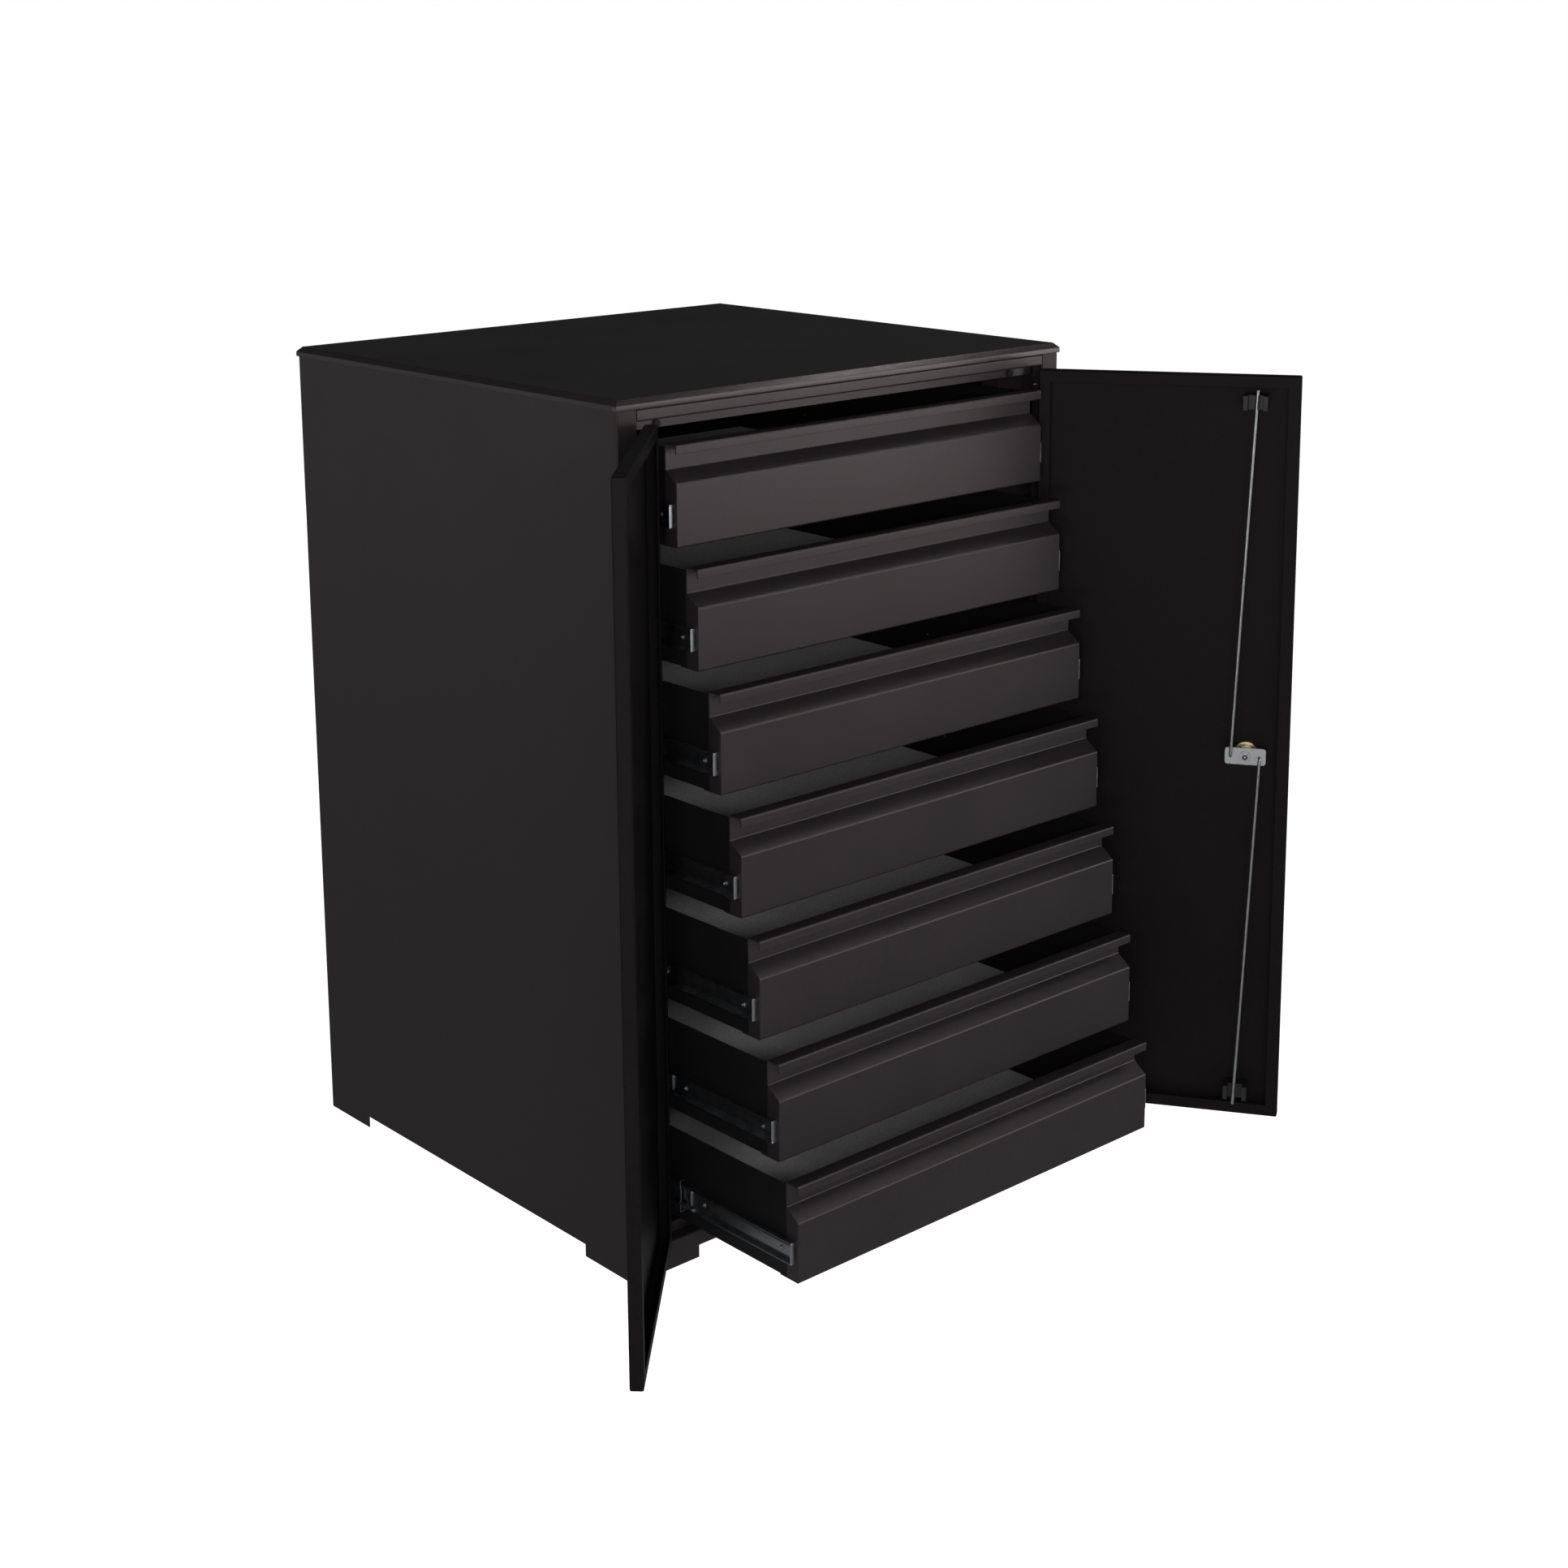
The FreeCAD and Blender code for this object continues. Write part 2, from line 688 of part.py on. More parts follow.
def hinge_half(name, side, level, half):
    """A knuckle with its leaf: the lower one belongs to the cabinet, the upper one to the door."""
    length = "(knuckle_length - knuckle_gap)"
    base = f"({level} - {length})" if half == "frame" else f"({level} + knuckle_gap)"
    bore = "pin_radius" if half == "frame" else "(pin_radius + pin_clearance)"
    towards = "left" if (side == "left") == (half == "door") else "right"
    leaf = block(
        name + "_leaf",
        (along(towards, "0", "leaf_width"), "knuckle_radius - leaf_thick", base),
        ("leaf_width", "hinge_relief + leaf_thick", length),
    )
    knuckle = rod(name + "_knuckle", ("0", "0", base), "knuckle_radius", length)
    hole = rod(name + "_hole", ("0", "0", f"{base} - lap"), bore, f"{length} + 2*lap")
    return cut(name, fuse(name + "_solid", knuckle, leaf), hole)


def hinges():
    """Six loose hinges: leaves and pins on the cabinet, leaves on each door."""
    frame_halves = []
    pins = []
    for side in SIDES:
        door_halves = []
        for number, level in enumerate(hinge_levels(), start=1):
            place = f"{side}_{number}"
            fixed = hinge_half(f"frame_half_{place}", side, level, "frame")
            move(fixed, *DOOR_SEAT[side])
            frame_halves.append(fixed)
            door_halves.append(hinge_half(f"door_half_{place}", side, level, "door"))
            low = f"{level} - knuckle_length"
            pin = rod(f"pin_{place}", DOOR_SEAT[side], "pin_radius", "2*knuckle_length + knuckle_gap")
            move(pin, DOOR_SEAT[side][0], DOOR_SEAT[side][1], low)
            pins.append(pin)
        name = f"hinge_leaves_{side}"
        node(name, group(name, *door_halves), DOOR_SEAT[side], DOOR_TURN[side])
    node("hinge_leaves_frame", group("hinge_leaves_frame", *frame_halves), CABINET)
    node("hinge_pins", group("hinge_pins", *pins), CABINET)


def door_bumpers():
    """Four soft buttons on the door stops."""
    heights = (f"({OPENING_BOTTOM} - bumper_radius)", f"({OPENING_TOP} + bumper_radius)")
    length = "door_stop_gap - bumper_gap"
    buttons = []
    for side in SIDES:
        place = "post_width + bumper_inset"
        across = place if side == "left" else f"cab_width - ({place})"
        for level, height in zip(("low", "high"), heights):
            base = (across, "door_thick + bumper_gap", height)
            buttons.append(rod(f"bumper_{side}_{level}", base, "bumper_radius", length, "Y"))
    node("door_bumpers", group("door_bumpers", *buttons), CABINET)


def lock_seat(name, shape):
    """Keep a piece of the lock in the right door's frame."""
    node(name, shape, DOOR_SEAT["right"], DOOR_TURN["right"])


def lock_disc(name, radius, start, length, shift="0"):
    """A round piece of the lock, along the door's thickness."""
    base = (f"{LOCK_X} + ({shift})", start, LOCK_HEIGHT)
    return rod(name, base, radius, length, "Y")


def lock_barrel():
    """The bush through the door that the spindle turns in, and the ring nut behind it."""
    tube_length = f"{PLATE_DEPTH} - barrel_end_gap - {BARREL_FRONT}"
    flange = lock_disc("barrel_flange_disc", "barrel_flange", BARREL_FRONT, "barrel_proud")
    tube = lock_disc("barrel_tube", "barrel_radius", BARREL_FRONT, tube_length)
    bore = lock_disc("barrel_bore", "spindle_radius + lock_clearance", "-lap", f"{PLATE_DEPTH} + 2*lap")
    lock_seat("lock_barrel", cut("lock_barrel", fuse("barrel_solid", flange, tube), bore))
    ring = lock_disc("ring_disc", "ring_radius", DOOR_SKIN, "ring_thick")
    hole = lock_disc("ring_hole", "barrel_radius", "0", PLATE_DEPTH)
    lock_seat("lock_ring", cut("lock_ring", ring, hole))


def turn_handle():
    """The outside handle with its spindle and the stud that holds the plate."""
    stem_top = f"({BARREL_FRONT} - handle_gap)"
    stem = lock_disc("handle_stem_disc", "handle_stem_radius", f"{stem_top} - handle_stem", "handle_stem")
    grip = block(
        "handle_grip",
        (
            f"{LOCK_X} - handle_length/2",
            f"{stem_top} - handle_stem - handle_height",
            f"{LOCK_HEIGHT} - handle_width/2",
        ),
        ("handle_length", "handle_height + lap", "handle_width"),
    )
    spindle_length = f"{PLATE_DEPTH} - {stem_top} + lap"
    spindle = lock_disc("spindle", "spindle_radius", f"{stem_top} - lap", spindle_length)
    stud = lock_disc("stud", "stud_radius", f"{PLATE_DEPTH} - lap", "plate_thick + nut_thick + lap")
    lock_seat("turn_handle", fuse("turn_handle", stem, grip, spindle, stud))


def cam_plate():
    """The plate on the spindle, with a crank pin at each end, and the nut that holds it."""
    bar = block(
        "plate_bar",
        (f"{LOCK_X} - plate_length/2", PLATE_DEPTH, f"{LOCK_HEIGHT} - plate_width/2"),
        ("plate_length", "plate_thick", "plate_width"),
    )
    hole = lock_disc("plate_hole", "stud_radius", f"{PLATE_DEPTH} - lap", "plate_thick + 2*lap")
    pin_length = f"{ROD_DEPTH} + eye_thick/2 + crank_pin_end - {PLATE_DEPTH}"
    pins = [
        lock_disc(f"crank_pin_{label}", "crank_pin", PLATE_DEPTH, pin_length, shift)
        for label, shift in (("upper", "cam_arm"), ("lower", "-cam_arm"))
    ]
    lock_seat("cam_plate", cut("cam_plate", fuse("plate_solid", bar, *pins), hole))
    nut = lock_disc("nut_disc", "nut_radius", PLATE_FRONT, "nut_thick")
    nut_hole = lock_disc("nut_hole", "stud_radius", PLATE_DEPTH, "plate_thick + nut_thick + lap")
    lock_seat("cam_nut", cut("cam_nut", nut, nut_hole))


def lock_rod(which):
    """A rod that hangs on a crank pin and leans back to the lock's centre line at its tip."""
    up = which == "upper"
    shift = "cam_arm" if up else "-cam_arm"
    angle = f"-{ROD_TILT}" if up else f"180 deg - {ROD_TILT}"
    name = f"{which}_rod"
    shaft = rod(name + "_shaft", ("0", "0", "0"), "rod_radius", ROD_REACH)
    tip = rod(name + "_tip", ("0", "0", "0"), "rod_tip_radius", "rod_tip_length")
    for piece, reach in ((shaft, "0"), (tip, f"({ROD_REACH} - rod_tip_length)")):
        turn(piece, (0, 1, 0), angle)
        move(piece, f"{LOCK_X} + ({shift}) + {reach}*sin({angle})", ROD_DEPTH,
             f"{LOCK_HEIGHT} + {reach}*cos({angle})")
    eye = lock_disc(name + "_eye", "eye_radius", f"{ROD_DEPTH} - eye_thick/2", "eye_thick", shift)
    hole = lock_disc(name + "_hole", "crank_pin + lock_clearance", PLATE_DEPTH, ROD_DEPTH, shift)
    lock_seat(name, cut(name, fuse(name + "_solid", shaft, tip, eye), hole))


def rod_guides():
    """The two blocks on the door that keep the rods' tips in line."""
    blocks = []
    for which, direction in (("upper", "+"), ("lower", "-")):
        middle = f"({LOCK_HEIGHT} {direction} ({ROD_REACH} - guide_from_tip))"
        low = f"({middle} - guide_height/2)"
        slot_floor = f"({ROD_DEPTH} - rod_tip_radius - guide_step)"
        solid = block(
            f"guide_{which}_block",
            (f"{LOCK_X} - guide_width/2", DOOR_SKIN, low),
            ("guide_width", f"{ROD_DEPTH} + rod_radius - {DOOR_SKIN}", "guide_height"),
        )
        slot = block(
            f"guide_{which}_slot",
            (f"{LOCK_X} - guide_slot/2", slot_floor, f"{low} - lap"),
            ("guide_slot", ROD_DEPTH, "guide_height + 2*lap"),
        )
        blocks.append(cut(f"guide_{which}", solid, slot))
    lock_seat("rod_guides", group("rod_guides", *blocks))


def doors():
    """Both doors, the right one drilled for its lock."""
    door("left")
    lock_hole = lock_disc("lock_hole", "barrel_radius", "0", f"{DOOR_SKIN} + lap")
    door("right", lock_hole)


def build():
    """Make every piece in the order a bench would."""
    fill_sheet()
    for side in SIDES:
        side_panel(side)
    top_cover()
    top_rail()
    front_plinth()
    rear_plinth()
    base_pan()
    back_panel()
    uprights()
    cabinet_runners()
    for drawer in range(1, DRAWERS + 1):
        middle_runners(drawer)
        drawer_front(drawer)
        drawer_box(drawer)
        drawer_mat(drawer)
        drawer_runners(drawer)
    doors()
    hinges()
    door_bumpers()
    lock_barrel()
    turn_handle()
    cam_plate()
    lock_rod("upper")
    lock_rod("lower")
    rod_guides()
    doc.recompute()


def check():
    """Stop on any object that failed to compute and on any piece without a sound solid."""
    failed = [thing.Name for thing in doc.Objects if {"Invalid", "Error"} & set(thing.State)]
    if failed:
        raise RuntimeError(f"failed objects: {failed}")
    for name, piece in nodes.items():
        shape = piece.Shape
        if shape.isNull() or not shape.isValid() or not shape.Solids:
            raise RuntimeError(f"{name} has no sound shape")


def export():
    """Write each piece to its own STEP file."""
    os.makedirs("parts", exist_ok=True)
    for name, piece in nodes.items():
        piece.Shape.exportStep(f"parts/{name}.step")
        print(f"{name}: {len(piece.Shape.Solids)} solids, {piece.Shape.Volume:.0f} mm3")


build()
check()
export()
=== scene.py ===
# %% [markdown]
# # A steel drawer cabinet, dressed from its bare engineering model
#
# The cabinet is folded from thin sheet steel and powder coated black. Seven drawers stand
# part-way out on zinc-plated ball runners, behind two open doors. The engineering model gives
# every part its true size and place. This lesson gives the parts their looks: the rounded
# folds of pressed sheet, the fine texture of the coating, the bright zinc, the ribbed liners,
# the screws and the balls in the runners.

import json
import math

import bmesh
import bpy
from mathutils import Matrix, Vector


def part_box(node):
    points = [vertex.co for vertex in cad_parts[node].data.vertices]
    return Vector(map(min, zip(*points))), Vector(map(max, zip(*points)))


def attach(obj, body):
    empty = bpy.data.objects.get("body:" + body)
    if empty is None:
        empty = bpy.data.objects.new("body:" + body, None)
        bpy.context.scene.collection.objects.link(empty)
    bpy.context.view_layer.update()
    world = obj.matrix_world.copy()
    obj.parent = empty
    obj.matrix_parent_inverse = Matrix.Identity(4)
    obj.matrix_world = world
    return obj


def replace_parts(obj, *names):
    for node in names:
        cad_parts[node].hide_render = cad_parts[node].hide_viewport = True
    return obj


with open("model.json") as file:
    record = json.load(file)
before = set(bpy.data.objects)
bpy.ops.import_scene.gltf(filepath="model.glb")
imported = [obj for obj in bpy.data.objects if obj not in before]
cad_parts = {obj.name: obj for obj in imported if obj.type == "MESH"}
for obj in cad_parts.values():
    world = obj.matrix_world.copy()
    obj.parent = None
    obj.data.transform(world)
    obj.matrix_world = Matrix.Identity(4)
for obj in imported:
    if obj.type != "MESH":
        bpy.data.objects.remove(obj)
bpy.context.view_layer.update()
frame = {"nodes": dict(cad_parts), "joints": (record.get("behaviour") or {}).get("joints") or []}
MM = 0.001
DRAWERS = range(1, 8)
SIDES = ("left", "right")

# %% [markdown]
# ## Colours and nodes
#
# Colours are picked from a colour chart, so they are written as sRGB hex. Blender
# mixes light in linear values, so one function turns a hex colour into those. Materials are
# small trees of nodes, and one more function adds a node, sets its values and makes its links.
# Every pattern lies on object coordinates, so its size on the steel is known in millimetres.

# %% Helpers for colours and nodes
def linear(hex_colour):
    """A linear RGBA colour from an sRGB hex string."""
    parts = [int(hex_colour[place:place + 2], 16) / 255 for place in (1, 3, 5)]
    low = [part / 12.92 for part in parts]
    high = [((part + 0.055) / 1.055) ** 2.4 for part in parts]
    return tuple(h if part > 0.04045 else l for part, l, h in zip(parts, low, high)) + (1.0,)


def add_node(tree, kind, values=None, links=None, **settings):
    """Add a node, set its properties and its sockets' values, and link its inputs to outputs."""
    added = tree.nodes.new(kind)
    for name, setting in settings.items():
        setattr(added, name, setting)
    for socket, value in (values or {}).items():
        added.inputs[socket].default_value = value
    for socket, source in (links or {}).items():
        tree.links.new(source, added.inputs[socket])
    return added


def start_material(name):
    """An empty node material and its object-space coordinates."""
    material = bpy.data.materials.new(name)
    material.use_nodes = True
    material.node_tree.nodes.clear()
    place = add_node(material.node_tree, "ShaderNodeTexCoord").outputs["Object"]
    return material, material.node_tree, place


def close_material(tree, shader):
    """Send a shader to the material's output."""
    add_node(tree, "ShaderNodeOutputMaterial", links={"Surface": shader.outputs["BSDF"]})


def per_metre(millimetres):
    """A texture's scale for a feature of that size."""
    return 1 / (millimetres * MM)


print("middle grey in linear light:", round(linear("#808080")[0], 3))

# %% [markdown]
# ## Powder coat
#
# The steel is sprayed with dry black powder and baked. The melt leaves a fine texture like
# very small orange peel, so the shine is soft and broken, never a mirror. The real grain is
# about 0.3 mm, which is finer than a picture of a whole cabinet can hold, so it is drawn about
# five times coarser. Two more things tell the eye that it is a used workshop piece: the shine
# changes a little where hands have been, and large sheets are never quite flat. The lid's front
# slope is rubbed by sleeves and tools, so it is smoother than the rest. All sizes are in mm.

# %% Powder coat
COAT_GRAIN = 1.6
COAT_GRAIN_DEPTH = 0.05
HANDLED_PATCH = 140
SHEET_WAVE = 320
SHEET_WAVE_DEPTH = 0.22
LID_SLOPE = 6
# The colour is mostly the grain's, and the rest is the handled patches'.
GRAIN_SHARE = 0.75
TONES_FROM, TONES_TO = 0.36, 0.64
SMOOTHER_PATCH, ROUGHER_PATCH, RUBBED_SMOOTHER = 0.03, 0.04, 0.2
# A baked polyester powder leaves a very slightly warm shine.
WARM_SHINE = "#fff1f2"


def powder_coat(name, dark, light, shine, glints, rubbed_from=None):
    """Baked black powder: a soft, broken shine over a colour that drifts a little.

    Where it is rubbed, in front of a place on Y in metres, it shines more.
    """
    material, tree, place = start_material(name)
    grain = add_node(
        tree, "ShaderNodeTexNoise",
        {"Scale": per_metre(COAT_GRAIN), "Detail": 3.0, "Roughness": 0.6}, {"Vector": place},
    )
    patches = add_node(
        tree, "ShaderNodeTexNoise",
        {"Scale": per_metre(HANDLED_PATCH), "Detail": 4.0, "Roughness": 0.65}, {"Vector": place},
    )
    waves = add_node(
        tree, "ShaderNodeTexNoise",
        {"Scale": per_metre(SHEET_WAVE), "Detail": 0.0}, {"Vector": place},
    )
    blend = add_node(
        tree, "ShaderNodeMath", {1: GRAIN_SHARE}, {0: grain.outputs["Fac"]}, operation="MULTIPLY",
    )
    mixed = add_node(
        tree, "ShaderNodeMath", {1: 1 - GRAIN_SHARE},
        {0: patches.outputs["Fac"], 2: blend.outputs[0]}, operation="MULTIPLY_ADD",
    )
    colour = add_node(tree, "ShaderNodeValToRGB", links={"Fac": mixed.outputs[0]})
    colour.color_ramp.elements[0].position = TONES_FROM
    colour.color_ramp.elements[0].color = linear(dark)
    colour.color_ramp.elements[1].position = TONES_TO
    colour.color_ramp.elements[1].color = linear(light)
    roughness = add_node(
        tree, "ShaderNodeMapRange",
        {
            "From Min": 0.3, "From Max": 0.7,
            "To Min": shine - SMOOTHER_PATCH, "To Max": shine + ROUGHER_PATCH,
        },
        {"Value": patches.outputs["Fac"]},
    )
    finish = roughness.outputs["Result"]
    if rubbed_from is not None:
        split = add_node(tree, "ShaderNodeSeparateXYZ", links={"Vector": place})
        rubbed = add_node(
            tree, "ShaderNodeMath", {1: rubbed_from}, {0: split.outputs["Y"]},
            operation="LESS_THAN",
        )
        finish = add_node(
            tree, "ShaderNodeMath", {1: -RUBBED_SMOOTHER}, {0: rubbed.outputs[0], 2: finish},
            operation="MULTIPLY_ADD",
        ).outputs[0]
    wavy = add_node(
        tree, "ShaderNodeBump", {"Strength": 0.5, "Distance": SHEET_WAVE_DEPTH * MM},
        {"Height": waves.outputs["Fac"]},
    )
    rough = add_node(
        tree, "ShaderNodeBump", {"Strength": 0.55, "Distance": COAT_GRAIN_DEPTH * MM},
        {"Height": grain.outputs["Fac"], "Normal": wavy.outputs["Normal"]},
    )
    shader = add_node(
        tree, "ShaderNodeBsdfPrincipled",
        {"IOR": 1.5, "Specular IOR Level": glints, "Specular Tint": linear(WARM_SHINE)},
        {
            "Base Color": colour.outputs["Color"],
            "Roughness": finish,
            "Normal": rough.outputs["Normal"],
        },
    )
    close_material(tree, shader)
    return material


SHELL_COAT = powder_coat("powder_coat_black_shell", "#171515", "#1e1b1c", 0.44, 0.40)
# The fronts' coat is the shell's black made a little lighter: painted light on the fronts, the
# rail and the uprights.
LIT_FRONT_COAT = powder_coat("powder_coat_black_fronts_painted_light", "#171516", "#211e1f", 0.36, 0.50)
# The doors wear the shell's black coat drawn much darker: painted shade on the doors, with their
# hinge leaves.
SHADED_DOOR_COAT = powder_coat("powder_coat_black_doors_painted_shade", "#0b0a0a", "#110f0f", 0.42, 0.08)
# The trays' coat is the same black drawn much darker: painted shade for the shade inside the
# drawers.
SHADED_TRAY_COAT = powder_coat("powder_coat_black_trays_painted_shade", "#0c0b0b", "#121111", 0.50, 0.25)
LID_COAT = powder_coat(
    "powder_coat_rubbed_lid", "#171515", "#201d1e", 0.44, 0.60,
    rubbed_from=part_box("top_cover")[0].y + LID_SLOPE * MM,
)
print("powder coats:", SHELL_COAT.name, LIT_FRONT_COAT.name, SHADED_DOOR_COAT.name, SHADED_TRAY_COAT.name)

# %% [markdown]
# ## Zinc-plated steel, brass, nylon and rubber
#
# Runners, rods and small fixings are cold-rolled steel with a bright zinc plating. Rolling
# leaves faint lines along the strip, and the plating is cloudy rather than polished, so the
# roughness drifts and a stretched noise gives the lines. The other small parts are simpler: a
# turned brass ring, moulded black nylon with the faint grain of its mould, and soft rubber
# buttons that scatter nearly all the light. The liners are grey rubber too, with an uneven,
# dusty tone. Brass and zinc keep the metal shader's own index of refraction.

# %% Bright metals and mouldings
PLATING_CLOUD = 12
ROLLING_LINE_DEPTH = 0.02
CLEAR_PLATING, CLOUDY_PLATING = 0.08, 0.12


def plated_metal(name, dark, light, shine, line_spacing, stretch):
    """Plated or turned metal with fine lines along one direction and a cloudy shine."""
    material, tree, place = start_material(name)
    stretched = add_node(tree, "ShaderNodeMapping", {"Scale": stretch}, {"Vector": place})
    lines = add_node(
        tree, "ShaderNodeTexNoise", {"Scale": per_metre(line_spacing), "Detail": 2.0},
        {"Vector": stretched.outputs["Vector"]},
    )
    clouds = add_node(
        tree, "ShaderNodeTexNoise", {"Scale": per_metre(PLATING_CLOUD), "Detail": 3.0},
        {"Vector": place},
    )
    colour = add_node(tree, "ShaderNodeValToRGB", links={"Fac": clouds.outputs["Fac"]})
    colour.color_ramp.elements[0].color = linear(dark)
    colour.color_ramp.elements[1].color = linear(light)
    roughness = add_node(
        tree, "ShaderNodeMapRange",
        {"To Min": shine - CLEAR_PLATING, "To Max": shine + CLOUDY_PLATING},
        {"Value": clouds.outputs["Fac"]},
    )
    bump = add_node(
        tree, "ShaderNodeBump", {"Strength": 0.12, "Distance": ROLLING_LINE_DEPTH * MM},
        {"Height": lines.outputs["Fac"]},
    )
    shader = add_node(
        tree, "ShaderNodeBsdfPrincipled", {"Metallic": 1.0},
        {
            "Base Color": colour.outputs["Color"],
            "Roughness": roughness.outputs["Result"],
            "Normal": bump.outputs["Normal"],
        },
    )
    close_material(tree, shader)
    return material


def moulded(name, dark, light, shine, grain, depth):
    """Moulded plastic or rubber with the grain of its mould."""
    material, tree, place = start_material(name)
    noise = add_node(
        tree, "ShaderNodeTexNoise", {"Scale": per_metre(grain), "Detail": 3.0}, {"Vector": place},
    )
    colour = add_node(tree, "ShaderNodeValToRGB", links={"Fac": noise.outputs["Fac"]})
    colour.color_ramp.elements[0].color = linear(dark)
    colour.color_ramp.elements[1].color = linear(light)
    bump = add_node(
        tree, "ShaderNodeBump", {"Strength": 0.5, "Distance": depth * MM},
        {"Height": noise.outputs["Fac"]},
    )
    shader = add_node(
        tree, "ShaderNodeBsdfPrincipled", {"Roughness": shine},
        {"Base Color": colour.outputs["Color"], "Normal": bump.outputs["Normal"]},
    )
    close_material(tree, shader)
    return material


# A small number stretches the lines that way: along Y on the runners, along Z on the rods.
ALONG_DEPTH = (1.0, 0.02, 1.0)
UP_THE_DOOR = (1.0, 1.0, 0.02)
ALL_ROUND = (1.0, 1.0, 1.0)
ZINC = plated_metal("zinc_plated_rolled_steel", "#b4b8bd", "#d6d9dd", 0.30, 1.0, ALONG_DEPTH)
ROD_ZINC = plated_metal("zinc_plated_drawn_rod", "#c4c7ca", "#e2e4e6", 0.30, 1.0, UP_THE_DOOR)
PLATE_ZINC = plated_metal("zinc_plated_stamping", "#c9cbcd", "#e0e1e2", 0.48, 1.0, UP_THE_DOOR)
BRASS = plated_metal("turned_brass", "#e0c98c", "#f6e6b8", 0.32, 0.8, ALL_ROUND)
NYLON = moulded("moulded_black_nylon", "#0e0e0e", "#1a1a1a", 0.48, 1.5, 0.05)
RUBBER = moulded("soft_black_rubber", "#0f0f0f", "#161616", 0.75, 2.0, 0.05)
LINER = moulded("ribbed_grey_liner", "#545455", "#959596", 0.85, 2.2, 0.2)
print("metals and mouldings:", ZINC.name, ROD_ZINC.name, BRASS.name, NYLON.name, LINER.name)

# %% [markdown]
# ## Making a piece from a bmesh
#
# Every new piece ends the same way: the bmesh becomes a mesh, the object gets its material
# and its modifiers, and it rides on the body that carries it. A small bevel rounds cut edges,
# because a real edge always catches a thread of light, and a weighted normal keeps the flats
# flat next to the rounded parts.

# %% Finish a piece
EDGE_ROUNDING = 0.35
SHARP_TURN = math.radians(40)


def round_edges(piece, width, segments=2):
    """Round the sharp edges of a piece and keep its flats flat."""
    bevel = piece.modifiers.new("rounded_edges", "BEVEL")
    bevel.width = width * MM
    bevel.segments = segments
    bevel.limit_method = "ANGLE"
    bevel.angle_limit = SHARP_TURN
    weighted = piece.modifiers.new("flat_faces", "WEIGHTED_NORMAL")
    weighted.mode = "FACE_AREA"
    weighted.weight = 100


def make_piece(name, mesh, body, material, sheet=None, rounding=EDGE_ROUNDING):
    """Turn a bmesh into a piece that rides on a body. A sheet thickness makes walls of faces."""
    bmesh.ops.recalc_face_normals(mesh, faces=mesh.faces)
    for face in mesh.faces:
        face.smooth = True
    data = bpy.data.meshes.new(name)
    mesh.to_mesh(data)
    mesh.free()
    piece = bpy.data.objects.new(name, data)
    bpy.context.scene.collection.objects.link(piece)
    data.materials.append(material)
    if sheet:
        wall = piece.modifiers.new("sheet", "SOLIDIFY")
        wall.thickness, wall.offset = sheet
        wall.use_even_offset = True
    if rounding:
        round_edges(piece, rounding)
    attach(piece, body)
    return piece


def new_verts(made):
    """The vertices among what an operator returns."""
    return [part for part in made["geom"] if isinstance(part, bmesh.types.BMVert)]


print("edges are rounded by", EDGE_ROUNDING, "mm unless a piece says otherwise")

# %% [markdown]
# ## Folded sheet
#
# A press brake makes a channel or a drawer front by folding one flat strip along straight
# lines. The same steps work here: a few vertices mark the folds on the middle of the sheet's
# thickness, a vertex bevel turns each corner into an arc, the line is extruded along the
# sheet, and Solidify gives it its thickness. Modelling a box and cutting it hollow would leave
# knife-sharp folds, and those lose the soft bright line that every real fold shows.

# %% Fold a sheet
FOLD_RADIUS = 1.4
FOLD_STEPS = 4
STRAIGHT_ON = math.radians(5)


def fold_sheet(outline, stations, axis, radius=FOLD_RADIUS, gaps=()):
    """Fold a strip along an outline in mm and run it along an axis, leaving out boxes in gaps."""
    mesh = bmesh.new()

    def place(pair, along):
        point = list(pair)
        point.insert("XYZ".index(axis), along)
        return Vector(point) * MM

    line = [mesh.verts.new(place(pair, stations[0])) for pair in outline]
    for first, second in zip(line, line[1:]):
        mesh.edges.new((first, second))
    folds = []
    for before, corner, after in zip(line, line[1:], line[2:]):
        if (corner.co - before.co).angle(after.co - corner.co) > STRAIGHT_ON:
            folds.append(corner)
    bmesh.ops.bevel(
        mesh, geom=folds, offset=radius * MM, offset_type="OFFSET", segments=FOLD_STEPS,
        profile=0.5, affect="VERTICES", material=-1,
    )
    run = list(mesh.edges)
    for start, stop in zip(stations, stations[1:]):
        fresh = new_verts(bmesh.ops.extrude_edge_only(mesh, edges=run))
        moved = set(fresh)
        step = place((0, 0), stop) - place((0, 0), start)
        bmesh.ops.translate(mesh, verts=fresh, vec=step)
        run = [edge for edge in mesh.edges if set(edge.verts) <= moved]
    for low, high in gaps:
        inside = [
            face for face in mesh.faces
            if all(l * MM < c < h * MM for l, c, h in zip(low, face.calc_center_median(), high))
        ]
        bmesh.ops.delete(mesh, geom=inside, context="FACES")
    return mesh


print("a fold of", FOLD_RADIUS, "mm is drawn in", FOLD_STEPS, "steps")

# %% [markdown]
# ## Drawer fronts
#
# Each front is one sheet with six folds: a lip that turns down, the flat top, the wall of the
# finger grip, the slope, the tall face and a hem underneath. Two cheeks close the ends under
# the slope. The sizes below are the sheet's own, measured from the fold line between slope and
# face, and the length and height come from the frame.

# %% Drawer fronts
FRONT_SHEET = 1.5
CHEEK_SHEET = 1.2
GRIP_DEPTH = 18.3
GRIP_RISE = 13.4
LIP_DROP = 10.2
HEM_DEPTH = 30
FOLD_UNDER_TOP = 42.3


